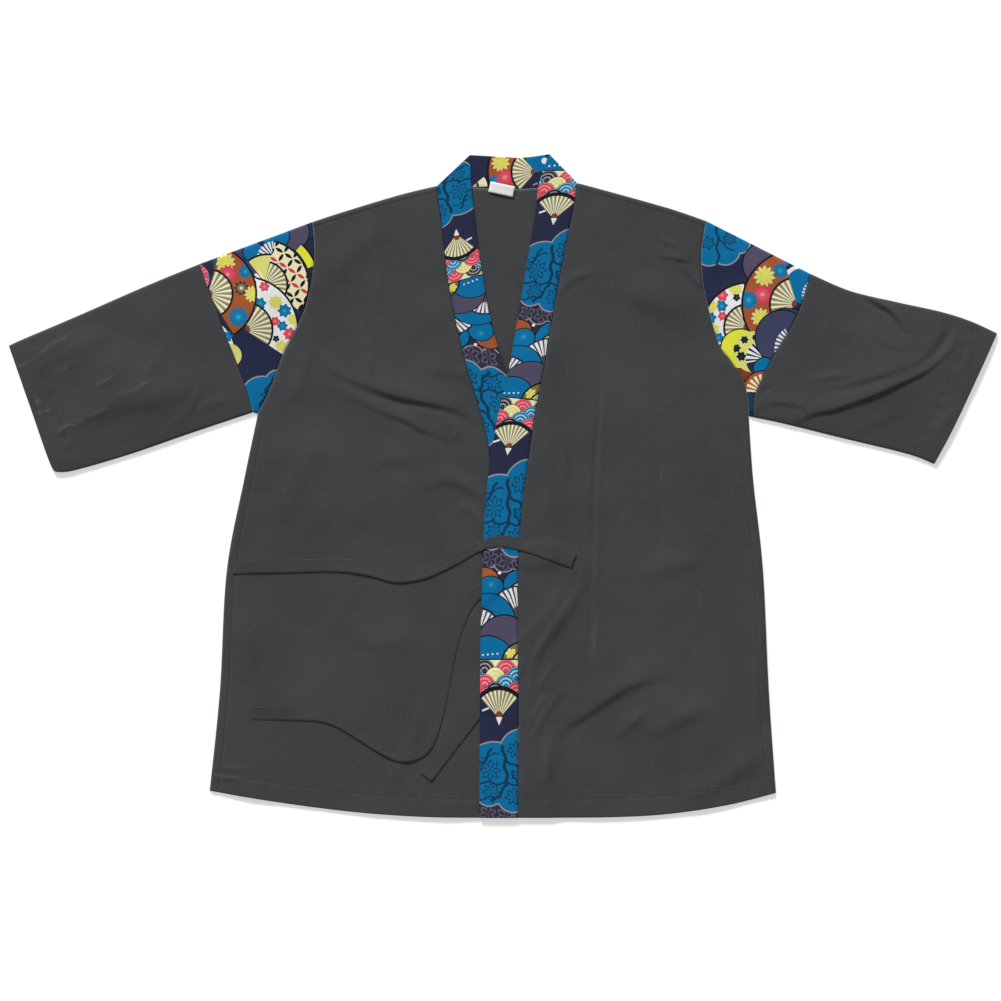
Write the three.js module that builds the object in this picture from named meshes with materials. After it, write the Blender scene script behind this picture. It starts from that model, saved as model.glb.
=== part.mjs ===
// A Japanese chef's jacket, laid flat on a table with its left front over its right one.
// Every piece of cloth is a thin wall: the back and the undersides of the sleeves lie on the table, the fronts,
// the sleeves' upper walls and the collar band lie on those, and the ties lie on top or between the fronts.
// Units are millimetres: +X to the right of the laid jacket, +Y from the hem to the neck, +Z up from the table.
// Right and left in the names are the wearer's, so the right front lies at -X.

import * as THREE from "three";

// Driving sizes
const CLOTH = 1.2; // wall of the body and sleeves
const BAND = 1.5; // the collar band, two thinner cloths and their interfacing
const TIE = 1.0; // a tie, cloth folded to a flat strap
const TIE_WIDTH = 15;
const SEAM_GAP = 0.3; // between pieces that are sewn together
const UPPER_WALL = BAND + SEAM_GAP; // height at which the upper walls lie, over what lies on the table
const OVERLAP_RISE = BAND + SEAM_GAP; // how much higher the left front lies where the right band is under it
const TIE_RISE = TIE + SEAM_GAP; // how much a hidden tie lifts the cloth over it
const SIDE_SEAM = { down: 2, up: 14 }; // a front comes down to the back this near its side, from this far off
const EDGE_BEVEL = 1.0; // the rounding of a sleeve's folded edges
const SLEEVE_CROWN = 2.2; // how far the two walls of a sleeve stand off each other along its middle
const LABEL = { width: 28, depth: 12, thickness: 1.0, x: -2, y: 332, turn: -0.21 };

// Outlines, each a run of plan points [x, y]
const HEM = [
  [-329, -341], [-284, -349], [-217, -359], [-150, -366.5], [-82, -370.5], [20, -371.5],
  [120, -370.8], [186, -367], [254, -356.5], [305, -343.5],
];
const SIDE_RIGHT = [[-329, -341], [-317.5, -228], [-310, -96], [-290.5, 7], [-275, 80.6]];
const SIDE_LEFT = [[305, -343.5], [297, -228], [290.5, -94], [279.5, 7], [274.5, 78]];
const ARMHOLE_RIGHT = [
  [-275, 80.6], [-261.5, 107.5], [-247, 146.7], [-230, 180.3], [-219, 209], [-211.5, 257], [-213.5, 295.7],
];
const ARMHOLE_LEFT = [
  [274.5, 78], [270.5, 113], [255, 139], [241.5, 158], [229, 200], [223, 230], [221.5, 262], [226.5, 296.8],
];
const SHOULDER_RIGHT = [[-213.5, 295.7], [-183, 305.8], [-116, 326], [-74.5, 336]];
const SHOULDER_LEFT = [[226.5, 296.8], [186.5, 310.5], [119, 329.5], [82.5, 339.4]];
const BACK_NECK = [[-74.5, 335.5], [-30, 333.5], [6, 331.5], [44, 334], [82.5, 338.8]];
const COLLAR_TOP = [[-37.5, 370.5], [0, 368.5], [20, 367.5], [51, 371.5]];

// The sleeves: the seam between the printed top and the plain sleeve, the two folded edges and the cuff
const SLEEVE_RIGHT = {
  seam: [[-340, 248.6], [-329.8, 218.4], [-321, 199], [-313, 174.5], [-299, 140], [-287.5, 108], [-280.5, 82.3]],
  upper: [[-340, 248.6], [-400, 224], [-480, 189], [-540, 163.5], [-553.5, 157]],
  under: [[-280.5, 82.3], [-350, 59], [-418, 35.5], [-480, 17.5], [-500, 15.5]],
  cuff: [[-553.5, 157], [-531, 93], [-507.5, 26], [-500, 15.5]],
};
const SLEEVE_LEFT = {
  seam: [[343.5, 237.5], [334.5, 207], [320, 174.7], [304, 149], [288, 118], [279.8, 97], [279.4, 76.8]],
  upper: [[343.5, 237.5], [388, 218.5], [440, 206], [490, 195], [523, 184.5], [552.5, 171]],
  under: [[279.4, 76.8], [314, 69.5], [377, 54], [452, 35.8], [482, 24.5]],
  cuff: [[552.5, 171], [533, 128], [505, 68], [482, 24.5]],
};

// The collar band, from the hem up to the fold at the neck: where its free edge and its sewn edge are
const BAND_LEFT = [
  { y: -371.3, free: -26.9, sewn: 16.2 },
  { y: -240, free: -26.3, sewn: 16.6 },
  { y: -170, free: -25.6, sewn: 16.2 },
  { y: -90, free: -23.3, sewn: 16.6 },
  { y: -30, free: -20.7, sewn: 19.8 },
  { y: 28, free: -15, sewn: 27.4 },
  { y: 83, free: -5, sewn: 35.5 },
  { y: 126, free: 5, sewn: 44 },
  { y: 184, free: 15.1, sewn: 53.8 },
  { y: 249, free: 26.3, sewn: 65.6 },
  { y: 306, free: 35.6, sewn: 77 },
  { y: 339, free: 40, sewn: 82.5 },
];
const BAND_RIGHT = [
  { y: -371.3, sewn: -11.5, free: 31 },
  { y: -170, sewn: -12.2, free: 29.5 },
  { y: -30, sewn: -13, free: 27 },
  { y: 20, sewn: -14, free: 25 },
  { y: 48, sewn: -17, free: 22 },
  { y: 76, sewn: -24, free: 16.5 },
  { y: 102, sewn: -31.5, free: 10.5 },
  { y: 129, sewn: -39.6, free: 2.8 },
  { y: 160, sewn: -47.5, free: -7.4 },
  { y: 188, sewn: -54, free: -14 },
  { y: 238, sewn: -63, free: -23.6 },
  { y: 290, sewn: -68.5, free: -31 },
  { y: 335.5, sewn: -74.5, free: -35.6 },
];
const NECK_TIP_LEFT = [51, 371.5]; // where each band's free edge turns back behind the neck
const NECK_TIP_RIGHT = [-37.5, 370.5];

// Ties, each a run of plan points from where it is sewn on to its free end
const TIES = {
  tie_side_outer: [
    [-303, -91], [-239, -89.6], [-183, -88.5], [-149.5, -93], [-119, -101], [-88, -96.5], [-54.3, -82.5],
    [-26.3, -67.5], [-3.9, -62], [24, -66], [52, -75], [79, -85],
  ],
  tie_front_outer: [
    [-15.5, -110], [-33, -124], [-43.5, -139], [-53.5, -163.5], [-61, -189.3], [-66.5, -217.3], [-72.5, -247.5],
    [-80.5, -277], [-90, -294], [-105, -301.5], [-120, -300.5], [-141, -289.5], [-163, -275], [-183, -263],
    [-206, -256], [-237, -254.8], [-283, -254.2],
  ],
  tie_front_inner: [
    [30.6, -80], [47, -75], [65.5, -80.6], [76.7, -99.7], [71, -125.4], [52, -152.3], [32, -174.7],
    [7.3, -203.8], [-19.6, -238.6], [-37.5, -262.6], [-67.8, -301.8], [-86.8, -326.5],
  ],
};

// The largest folds: soft ridges along a run of plan points, highest at the middle of the run
const FOLDS = {
  front_right: [
    { height: 6, width: 13, path: [[-165, 124], [-112, 106], [-71, 93], [-22, 66]] },
    { height: 3.5, width: 11, path: [[-128, 82], [-90, 66], [-60, 53], [-26, 40]] },
    { height: 2.5, width: 10, path: [[-92, 4], [-62, -4], [-42, -20], [-37, -42]] },
    { height: 2.5, width: 17, path: [[-212, 214], [-170, 262], [-122, 300]] },
    { height: 2, width: 14, path: [[-297, -118], [-287, -165], [-284, -215]] },
  ],
  front_left: [
    { height: 4.5, width: 14, path: [[60, -282], [100, -250], [150, -222], [214, -200]] },
    { height: 2.5, width: 13, path: [[30, -345], [40, -275], [62, -205], [96, -140]] },
    { height: 3.5, width: 10, path: [[158, 254], [186, 250], [206, 240], [219, 216]] },
    { height: 2.2, width: 16, path: [[96, 150], [101, 40], [103, -60], [101, -190]] },
    { height: 2, width: 18, path: [[262, 40], [258, -60], [272, -180], [280, -290]] },
  ],
  sleeve_right: [
    { height: 1.6, width: 18, path: [[-236, 268], [-268, 220], [-276, 160]] },
    { height: 2.2, width: 15, path: [[-506, 60], [-455, 84], [-392, 99], [-330, 112]] },
    { height: 1.8, width: 14, path: [[-535, 140], [-490, 150], [-430, 178]] },
  ],
  sleeve_left: [
    { height: 2.4, width: 14, path: [[250, 268], [286, 240], [312, 214]] },
    { height: 8, width: 12, path: [[322, 82], [380, 106], [440, 128], [482, 147], [505, 166], [500, 188]] },
    { height: 5, width: 10, path: [[402, 210], [425, 198], [448, 182], [458, 168]] },
    { height: 3.5, width: 9, path: [[286, 88], [314, 99], [350, 103], [384, 101]] },
  ],
};

// Where the cloth stands off what is under it: broad low rises
const PUFFS = {
  front_right: [{ x: -190, y: -10, radius: 105, height: 2.6 }, { x: -170, y: -250, radius: 95, height: 2.2 }],
  front_left: [{ x: 175, y: 60, radius: 95, height: 2.6 }, { x: 200, y: -250, radius: 90, height: 2.2 }],
  sleeve_right: [{ x: -420, y: 115, radius: 80, height: 2.6 }, { x: -275, y: 190, radius: 55, height: 1.6 }],
  sleeve_left: [{ x: 420, y: 120, radius: 75, height: 2.4 }, { x: 275, y: 185, radius: 55, height: 1.6 }],
};

// Curves and shapes of height
const point = ([x, y]) => new THREE.Vector2(x, y);
const spline = (rows) => new THREE.SplineCurve(rows.map(point));
const mix = THREE.MathUtils.lerp;
const smooth = (value, low, high) => THREE.MathUtils.smoothstep(value, low, high);

function joined(...curves) {
  const path = new THREE.CurvePath();
  curves.forEach((curve) => path.add(curve));
  return { getPointAt: (t) => path.getPoint(t), length: path.getLength() };
}

function shifted(curve, dx, dy = 0) {
  return { getPointAt: (t) => curve.getPointAt(t).add(new THREE.Vector2(dx, dy)) };
}

// A curve moved square to its own run, to the left of it
function offset(curve, distance) {
  return {
    getPointAt: (t) => {
      const along = curve.getTangentAt(t);
      return curve.getPointAt(t).add(new THREE.Vector2(-along.y, along.x).multiplyScalar(distance));
    },
  };
}

// A curve whose start is moved to a point while its end stays
function startingAt(curve, start) {
  const move = start.clone().sub(curve.getPointAt(0));
  return { getPointAt: (t) => curve.getPointAt(t).addScaledVector(move, 1 - t) };
}

// How far along a chain of points a plan point lies, from 0 to 1, and how far off it
function nearest(path, x, y) {
  let best = { distance: Infinity, along: 0 };
  const steps = path.length - 1;
  for (let i = 0; i < steps; i += 1) {
    const [ax, ay] = path[i];
    const [bx, by] = path[i + 1];
    const dx = bx - ax;
    const dy = by - ay;
    const t = THREE.MathUtils.clamp(((x - ax) * dx + (y - ay) * dy) / (dx * dx + dy * dy), 0, 1);
    const distance = Math.hypot(x - ax - t * dx, y - ay - t * dy);
    if (distance < best.distance) best = { distance, along: (i + t) / steps };
  }
  return best;
}

function foldHeight(folds, x, y) {
  return folds.reduce((sum, fold) => {
    const { distance, along } = nearest(fold.path, x, y);
    const ends = Math.sin(Math.PI * along) ** 0.8;
    return sum + fold.height * ends * Math.exp(-((distance / fold.width) ** 2));
  }, 0);
}

function puffHeight(puffs, x, y) {
  return puffs.reduce((sum, puff) => {
    const share = Math.hypot(x - puff.x, y - puff.y) / puff.radius;
    return sum + (share < 1 ? puff.height * (1 - share * share) ** 2 : 0);
  }, 0);
}

const loft = (name, x, y) => foldHeight(FOLDS[name], x, y) + puffHeight(PUFFS[name], x, y);

function sideDrop(edge, x, y) {
  const drop = UPPER_WALL - CLOTH - SEAM_GAP;
  return drop * (1 - smooth(nearest(edge, x, y).distance, SIDE_SEAM.down, SIDE_SEAM.up));
}

// The cloth over the hidden ties keeps its full rise this far from a tie's centre, and is down again by the second
const TIE_SHOULDER = 24;
const TIE_FOOT = 46;
const HIDDEN_TIES = [TIES.tie_front_inner.slice(0, 9), TIES.tie_front_outer.slice(0, 2)];

function tieRise(x, y) {
  const distance = Math.min(...HIDDEN_TIES.map((path) => nearest(path, x, y).distance));
  return TIE_RISE * (1 - smooth(distance, TIE_SHOULDER, TIE_FOOT));
}

// The left front lies higher below the crossing of the bands, out to a little past the right band
const CROSSING = { full: 142, none: 185 };
const OVERLAP_EDGE = { full: 54, none: 96 };
const crossingShare = (y) => 1 - smooth(y, CROSSING.full, CROSSING.none);

function leftBandUnderside(x, y) {
  return UPPER_WALL + OVERLAP_RISE * crossingShare(y) + tieRise(x, y);
}

function leftFrontUnderside(x, y) {
  const overlap = crossingShare(y) * (1 - smooth(x, OVERLAP_EDGE.full, OVERLAP_EDGE.none));
  const height = UPPER_WALL + OVERLAP_RISE * overlap + tieRise(x, y) + loft("front_left", x, y);
  return height - sideDrop(SIDE_LEFT, x, y);
}

const rightFrontUnderside = (x, y) => UPPER_WALL + loft("front_right", x, y) - sideDrop(SIDE_RIGHT, x, y);

// Materials
const cloth = new THREE.MeshStandardMaterial({ color: 0x3d3f40, roughness: 0.85, metalness: 0 });
const print = new THREE.MeshStandardMaterial({ color: 0x1d6f96, roughness: 0.8, metalness: 0 });
const tape = new THREE.MeshStandardMaterial({ color: 0xeeeeec, roughness: 0.7, metalness: 0 });

// Solids
class Skin {
  constructor() {
    this.points = [];
    this.faces = [];
  }

  add(x, y, z) {
    this.points.push(x, y, z);
    return this.points.length / 3 - 1;
  }

  quad(a, b, c, d) {
    this.faces.push(a, b, c, a, c, d);
  }

  volume() {
    const [a, b, c] = [new THREE.Vector3(), new THREE.Vector3(), new THREE.Vector3()];
    let sum = 0;
    for (let i = 0; i < this.faces.length; i += 3) {
      a.fromArray(this.points, 3 * this.faces[i]);
      b.fromArray(this.points, 3 * this.faces[i + 1]);
      c.fromArray(this.points, 3 * this.faces[i + 2]);
      sum += a.dot(b.cross(c)) / 6;
    }
    return sum;
  }

  mesh(name, material) {
    if (this.volume() < 0) this.faces.reverse();
    const geometry = new THREE.BufferGeometry();
    geometry.setAttribute("position", new THREE.Float32BufferAttribute(this.points, 3));
    geometry.setIndex(this.faces);
    geometry.computeVertexNormals();
    const made = new THREE.Mesh(geometry, material);
    made.name = name;
    return made;
  }
}

// A wall between an underside and a top over a grid of plan points. place(u, v) gives the plan point, and
// underside(x, y) the height below it.
function wall(name, material, { place, columns, rows, underside, thickness }) {
  const skin = new Skin();
  const plan = rows.map((v) => columns.map((u) => place(u, v)));
  const top = plan.map((row) => row.map((p) => skin.add(p.x, p.y, underside(p.x, p.y) + thickness)));
  const low = plan.map((row) => row.map((p) => skin.add(p.x, p.y, underside(p.x, p.y))));
  const lastRow = rows.length - 1;
  const lastColumn = columns.length - 1;
  for (let i = 0; i < lastRow; i += 1) {
    for (let j = 0; j < lastColumn; j += 1) {
      skin.quad(top[i][j], top[i][j + 1], top[i + 1][j + 1], top[i + 1][j]);
      skin.quad(low[i][j], low[i + 1][j], low[i + 1][j + 1], low[i][j + 1]);
    }
  }
  const border = [];
  for (let j = 0; j < lastColumn; j += 1) border.push([0, j]);
  for (let i = 0; i < lastRow; i += 1) border.push([i, lastColumn]);
  for (let j = lastColumn; j > 0; j -= 1) border.push([lastRow, j]);
  for (let i = lastRow; i > 0; i -= 1) border.push([i, 0]);
  border.forEach(([i, j], at) => {
    const [k, l] = border[(at + 1) % border.length];
    skin.quad(top[k][l], top[i][j], low[i][j], low[k][l]);
  });
  const made = skin.mesh(name, material);
  made.userData.heights = plan.map((row) => row.map((p) => [p.x, p.y, underside(p.x, p.y) + thickness]));
  return made;
}

// The height of a wall's top at a plan point, or -Infinity beside the wall
function topAt(made, x, y) {
  const grid = made.userData.heights;
  for (let i = 0; i + 1 < grid.length; i += 1) {
    for (let j = 0; j + 1 < grid[i].length; j += 1) {
      const corners = [grid[i][j], grid[i][j + 1], grid[i + 1][j + 1], grid[i + 1][j]];
      for (const [a, b, c] of [[corners[0], corners[1], corners[2]], [corners[0], corners[2], corners[3]]]) {
        const area = (b[0] - a[0]) * (c[1] - a[1]) - (c[0] - a[0]) * (b[1] - a[1]);
        const s = ((x - a[0]) * (c[1] - a[1]) - (c[0] - a[0]) * (y - a[1])) / area;
        const t = ((b[0] - a[0]) * (y - a[1]) - (x - a[0]) * (b[1] - a[1])) / area;
        if (s >= 0 && t >= 0 && s + t <= 1) return a[2] + s * (b[2] - a[2]) + t * (c[2] - a[2]);
      }
    }
  }
  return -Infinity;
}

// The lowest height at which something clears all the walls near a plan point
const REACH = 7;
const DIRECTIONS = 8;
function clearOf(walls, floor, x, y) {
  let height = floor;
  for (let ring = 0; ring <= 2; ring += 1) {
    for (let k = 0; k < (ring ? DIRECTIONS : 1); k += 1) {
      const angle = (2 * Math.PI * k) / DIRECTIONS;
      const reach = (REACH * ring) / 2;
      for (const made of walls) {
        height = Math.max(height, topAt(made, x + reach * Math.cos(angle), y + reach * Math.sin(angle)));
      }
    }
  }
  return height + SEAM_GAP;
}

// A surface between four curves: low and high run along u, near and far along v
function patch(low, high, near, far) {
  return (u, v) => {
    const across = low.getPointAt(u).multiplyScalar(1 - v).add(high.getPointAt(u).multiplyScalar(v));
    const along = near.getPointAt(v).multiplyScalar(1 - u).add(far.getPointAt(v).multiplyScalar(u));
    const corners = low.getPointAt(0).multiplyScalar((1 - u) * (1 - v))
      .add(low.getPointAt(1).multiplyScalar(u * (1 - v)))
      .add(high.getPointAt(0).multiplyScalar((1 - u) * v))
      .add(high.getPointAt(1).multiplyScalar(u * v));
    return across.add(along).sub(corners);
  };
}

// How finely seams are stepped, the same on both sides of each
const NECK_STEPS = 12;
const ARMHOLE_STEPS = 16;
const TOP_STEPS = 5; // along the printed top of a sleeve
const NEAR_ROW = 0.008; // a row this near the underarm's gives way to it

const evenly = (count) => Array.from({ length: count + 1 }, (_, i) => i / count);

// A list of shares from 0 to 1 whose steps are fine between two shares and coarse outside them
function graded(coarse, fine, from, to) {
  const shares = [0];
  while (shares.at(-1) < 1) {
    const at = shares.at(-1);
    const step = at >= from && at < to ? fine : coarse;
    const next = at < from && at + step > from ? from : at + step;
    shares.push(next > 1 - step / 2 ? 1 : next);
  }
  return shares;
}

// The free or sewn edge of a band, from the hem up
function bandEdge(rows, column, tip) {
  const points = rows.map((row) => [row[column], row.y]);
  return spline(tip ? [...points, tip] : points);
}

// Half of a hem, from the band's edge out to the side
function hemHalf(band, side) {
  const hem = HEM.filter(([x]) => (side > 0 ? x > band + 30 : x < band - 30));
  const middle = hemHeight(band);
  const points = side > 0 ? [[band, middle], ...hem] : [...hem, [band, middle]].reverse();
  return spline(points);
}

function hemHeight(x) {
  const index = Math.max(1, HEM.findIndex(([hemX]) => hemX >= x));
  const [x0, y0] = HEM[index - 1];
  const [x1, y1] = HEM[index];
  return mix(y0, y1, (x - x0) / (x1 - x0));
}

// A front and the collar band sewn to it, on the same rows: those given below the underarm, even ones above it
function frontWithBand(side, { names, band, tip, edge, armhole, shoulder, rows, columns, undersides }) {
  const sewn = bandEdge(band, "sewn");
  const free = bandEdge(band, "free", tip);
  const inner = shifted(sewn, side * SEAM_GAP);
  const outer = joined(spline(edge), spline(armhole));
  const underarm = spline(edge).getLength() / outer.length;
  const levels = [
    ...rows.filter((v) => v < underarm - NEAR_ROW),
    ...evenly(ARMHOLE_STEPS).map((share) => mix(underarm, 1, share)),
  ];
  const neck = inner.getPointAt(1);
  const shoulderLine = spline([...shoulder.slice(0, -1), [neck.x, neck.y]].reverse());
  const panel = wall(names.front, cloth, {
    place: patch(hemHalf(inner.getPointAt(0).x, side), shoulderLine, inner, outer),
    columns,
    rows: levels,
    underside: undersides.front,
    thickness: CLOTH,
  });
  const collar = wall(names.band, print, {
    place: (u, v) => free.getPointAt(v).lerp(sewn.getPointAt(v), u),
    columns: evenly(2),
    rows: levels,
    underside: undersides.band,
    thickness: BAND,
  });
  return [panel, collar];
}

function back() {
  const outline = [
    ...spline(HEM).getSpacedPoints(28),
    ...spline(SIDE_LEFT).getSpacedPoints(8).slice(1),
    ...spline(ARMHOLE_LEFT).getSpacedPoints(ARMHOLE_STEPS).slice(1),
    ...spline(SHOULDER_LEFT).getSpacedPoints(4).slice(1, -1),
    ...spline(BACK_NECK).getSpacedPoints(NECK_STEPS).reverse(),
    ...spline(SHOULDER_RIGHT).getSpacedPoints(4).reverse().slice(1),
    ...spline(ARMHOLE_RIGHT).getSpacedPoints(ARMHOLE_STEPS).reverse().slice(1),
    ...spline(SIDE_RIGHT).getSpacedPoints(8).reverse().slice(1, -1),
  ];
  const geometry = new THREE.ExtrudeGeometry(new THREE.Shape(outline), { depth: CLOTH, bevelEnabled: false });
  const made = new THREE.Mesh(geometry, cloth);
  made.name = "back";
  return made;
}

function collarBack() {
  const neck = shifted(spline(BACK_NECK), 0, SEAM_GAP);
  const top = spline(COLLAR_TOP);
  return wall("collar_back", print, {
    place: (u, v) => neck.getPointAt(u).lerp(top.getPointAt(u), v),
    columns: evenly(NECK_STEPS),
    rows: evenly(2),
    underside: () => 0,
    thickness: BAND,
  });
}

// A flattened tube of cloth: place(s, t) gives the plan point, s along the sleeve and t from its upper folded edge
// to the one under the arm. Each ring goes over the upper wall, round the edge and back along the table.
function sleeveTube(name, material, { place, crown, folds, lengthwise }) {
  const skin = new Skin();
  const rings = evenly(lengthwise).map((s) => {
    const length = place(s, 0).distanceTo(place(s, 1));
    const bevel = EDGE_BEVEL / length;
    const upper = (t) => {
      const p = place(s, t);
      const lifted = SLEEVE_CROWN * crown(s) + loft(folds, p.x, p.y);
      return UPPER_WALL + lifted * Math.sin(Math.PI * t) ** 0.4;
    };
    const ring = (edge, thickness, base, high, low) => {
      const inside = (share) => THREE.MathUtils.clamp(share, edge + bevel, 1 - edge - bevel);
      return [
        ...evenly(ARMHOLE_STEPS).map(inside).map((t) => [t, upper(t) + thickness]),
        [1 - edge, high],
        [1 - edge, low],
        ...evenly(ARMHOLE_STEPS).reverse().map(inside).map((t) => [t, base]),
        [edge, low],
        [edge, high],
      ];
    };
    const outer = ring(0, CLOTH, 0, UPPER_WALL + CLOTH - EDGE_BEVEL, EDGE_BEVEL);
    const inner = ring(CLOTH / length, 0, CLOTH, UPPER_WALL - SEAM_GAP / 2, CLOTH + SEAM_GAP / 2);
    return [outer, inner].map((loop) => loop.map(([t, z]) => {
      const p = place(s, t);
      return skin.add(p.x, p.y, z);
    }));
  });
  const count = rings[0][0].length;
  const [[firstOuter, firstInner], [lastOuter, lastInner]] = [rings[0], rings.at(-1)];
  for (let l = 0; l < count; l += 1) {
    const m = (l + 1) % count;
    for (let r = 0; r < lengthwise; r += 1) {
      const [[outer, inner], [outerNext, innerNext]] = [rings[r], rings[r + 1]];
      skin.quad(outer[l], outer[m], outerNext[m], outerNext[l]);
      skin.quad(inner[l], innerNext[l], innerNext[m], inner[m]);
    }
    skin.quad(firstOuter[m], firstOuter[l], firstInner[l], firstInner[m]);
    skin.quad(lastOuter[l], lastOuter[m], lastInner[m], lastInner[l]);
  }
  return skin.mesh(name, material);
}

// The printed top of a sleeve, a wedge from the armhole out, and the plain sleeve sewn to it
function sleeve(side, { armhole, table, names, lengthwise }) {
  const armholeSeam = offset(spline([...armhole].reverse()), side * SEAM_GAP);
  const seam = spline(table.seam);
  const topEdge = (t) => ({ getPointAt: (s) => armholeSeam.getPointAt(t).lerp(seam.getPointAt(t), s) });
  const top = patch(armholeSeam, seam, topEdge(0), topEdge(1));
  const plainSeam = offset(seam, side * SEAM_GAP);
  const upper = startingAt(spline(table.upper), plainSeam.getPointAt(0));
  const under = startingAt(spline(table.under), plainSeam.getPointAt(1));
  const plain = patch(plainSeam, spline(table.cuff), upper, under);
  return [
    sleeveTube(names.top, print, {
      place: (s, t) => top(t, s), crown: (s) => smooth(s, 0, 1), folds: names.plain, lengthwise: TOP_STEPS,
    }),
    sleeveTube(names.plain, cloth, {
      place: (s, t) => plain(t, s), crown: () => 1, folds: names.plain, lengthwise,
    }),
  ];
}

// A tie: a flat strap along its run, lying on the walls given
function tie(name, walls, floor) {
  const centre = spline(TIES[name]);
  const steps = Math.round(centre.getLength() / 9);
  const place = (u, v) => {
    const along = centre.getTangentAt(v);
    const side = new THREE.Vector2(-along.y, along.x);
    return centre.getPointAt(v).addScaledVector(side, (u - 0.5) * TIE_WIDTH);
  };
  return wall(name, cloth, {
    place,
    columns: [0, 1],
    rows: evenly(steps),
    underside: (x, y) => clearOf(walls, floor, x, y),
    thickness: TIE,
  });
}

function neckLabel() {
  const { width, depth, thickness, x, y, turn } = LABEL;
  const made = new THREE.Mesh(new THREE.BoxGeometry(width, depth, thickness), tape);
  made.name = "neck_label";
  made.rotation.z = turn;
  made.position.set(x, y, BAND + SEAM_GAP + thickness / 2);
  return made;
}

// The jacket
const [rightFront, rightBand] = frontWithBand(-1, {
  names: { front: "front_right", band: "collar_right" },
  band: BAND_RIGHT,
  tip: NECK_TIP_RIGHT,
  edge: SIDE_RIGHT,
  armhole: ARMHOLE_RIGHT,
  shoulder: SHOULDER_RIGHT,
  rows: graded(0.05, 0.022, 0.46, 0.72),
  columns: graded(0.1, 0.05, 0, 0.55),
  undersides: { front: rightFrontUnderside, band: () => UPPER_WALL },
});
const [leftFront, leftBand] = frontWithBand(1, {
  names: { front: "front_left", band: "collar_left" },
  band: BAND_LEFT,
  tip: NECK_TIP_LEFT,
  edge: SIDE_LEFT,
  armhole: ARMHOLE_LEFT,
  shoulder: SHOULDER_LEFT,
  rows: graded(0.05, 0.026, 0.04, 0.36),
  columns: graded(0.08, 0.05, 0, 0.5),
  undersides: { front: leftFrontUnderside, band: leftBandUnderside },
});
const sleeves = [
  ...sleeve(-1, {
    armhole: ARMHOLE_RIGHT,
    table: SLEEVE_RIGHT,
    names: { top: "sleeve_top_right", plain: "sleeve_right" },
    lengthwise: 10,
  }),
  ...sleeve(1, {
    armhole: ARMHOLE_LEFT,
    table: SLEEVE_LEFT,
    names: { top: "sleeve_top_left", plain: "sleeve_left" },
    lengthwise: 16,
  }),
];
const ties = [
  tie("tie_side_outer", [rightFront, leftBand, leftFront], 0),
  tie("tie_front_outer", [rightFront], 0),
  tie("tie_front_inner", [rightBand, rightFront], CLOTH),
];

const jacket = new THREE.Group();
jacket.name = "japanese_chef_jacket";
jacket.add(back(), rightFront, leftFront, rightBand, collarBack(), leftBand, ...sleeves, ...ties, neckLabel());

// The origin is under the middle of the jacket, on the table
const middle = new THREE.Box3().setFromObject(jacket).getCenter(new THREE.Vector3());
jacket.position.set(-middle.x, -middle.y, 0);

export default jacket;
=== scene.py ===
"""A Japanese chef's jacket, laid flat with its left front over its right one, dressed in Blender.

Plan tables are in millimetres: x to the right of the laid jacket, y from hem to neck. Right and left in the
names are the wearer's. Each piece of cloth is a thin shell on its solid's form.
"""

import math

import bpy
import numpy as np
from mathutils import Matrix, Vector
from mathutils.bvhtree import BVHTree


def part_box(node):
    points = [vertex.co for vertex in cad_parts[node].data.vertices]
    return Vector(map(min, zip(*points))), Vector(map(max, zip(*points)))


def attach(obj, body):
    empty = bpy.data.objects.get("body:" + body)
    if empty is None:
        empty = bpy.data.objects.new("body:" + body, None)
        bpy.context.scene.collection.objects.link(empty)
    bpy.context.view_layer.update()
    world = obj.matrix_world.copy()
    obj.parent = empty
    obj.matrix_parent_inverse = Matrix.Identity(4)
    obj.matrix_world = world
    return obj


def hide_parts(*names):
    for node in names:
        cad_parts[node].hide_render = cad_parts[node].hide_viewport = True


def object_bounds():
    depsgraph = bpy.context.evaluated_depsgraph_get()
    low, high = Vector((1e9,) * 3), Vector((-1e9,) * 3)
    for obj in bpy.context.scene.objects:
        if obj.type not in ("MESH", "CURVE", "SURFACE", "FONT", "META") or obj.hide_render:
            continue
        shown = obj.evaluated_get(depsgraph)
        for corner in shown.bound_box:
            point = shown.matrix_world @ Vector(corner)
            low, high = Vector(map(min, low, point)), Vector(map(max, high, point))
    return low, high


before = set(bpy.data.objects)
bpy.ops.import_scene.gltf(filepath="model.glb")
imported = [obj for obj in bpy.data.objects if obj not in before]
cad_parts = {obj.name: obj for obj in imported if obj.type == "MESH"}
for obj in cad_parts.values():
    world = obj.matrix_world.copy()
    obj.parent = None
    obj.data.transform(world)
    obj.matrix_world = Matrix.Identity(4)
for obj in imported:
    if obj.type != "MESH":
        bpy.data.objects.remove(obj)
CAD_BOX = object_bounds()

# The solids' sizes
MM = 0.001
CLOTH = 1.2
BAND = 1.5
TIE = 1.0
SEAM_GAP = 0.3
UPPER_WALL = BAND + SEAM_GAP
OVERLAP_RISE = BAND + SEAM_GAP
TIE_RISE = TIE + SEAM_GAP
SLEEVE_CROWN = 2.2
SLEEVE_EDGE = 1.4
BAND_WIDTH = 43.0
COLLAR_HEIGHT = 38.0

# The photograph's frame, the light and the floor
PHOTO_SIZE = 1001
MM_PER_PIXEL = 1.12
PLAN_ORIGIN_PIXEL = (503.5, 486.0)
CAMERA_HEIGHT = 3.2
SENSOR = 36.0
WORLD_STRENGTH = 0.38
SUN_STRENGTH = 4.1
SUN_WIDTH = 12
SUN_TRAVEL = (0.3, -0.85, -0.48)
FLOOR_GLOW = 0.45
FLOOR_REACH, FLOOR_DROP = 40.0, 0.0004

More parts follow.
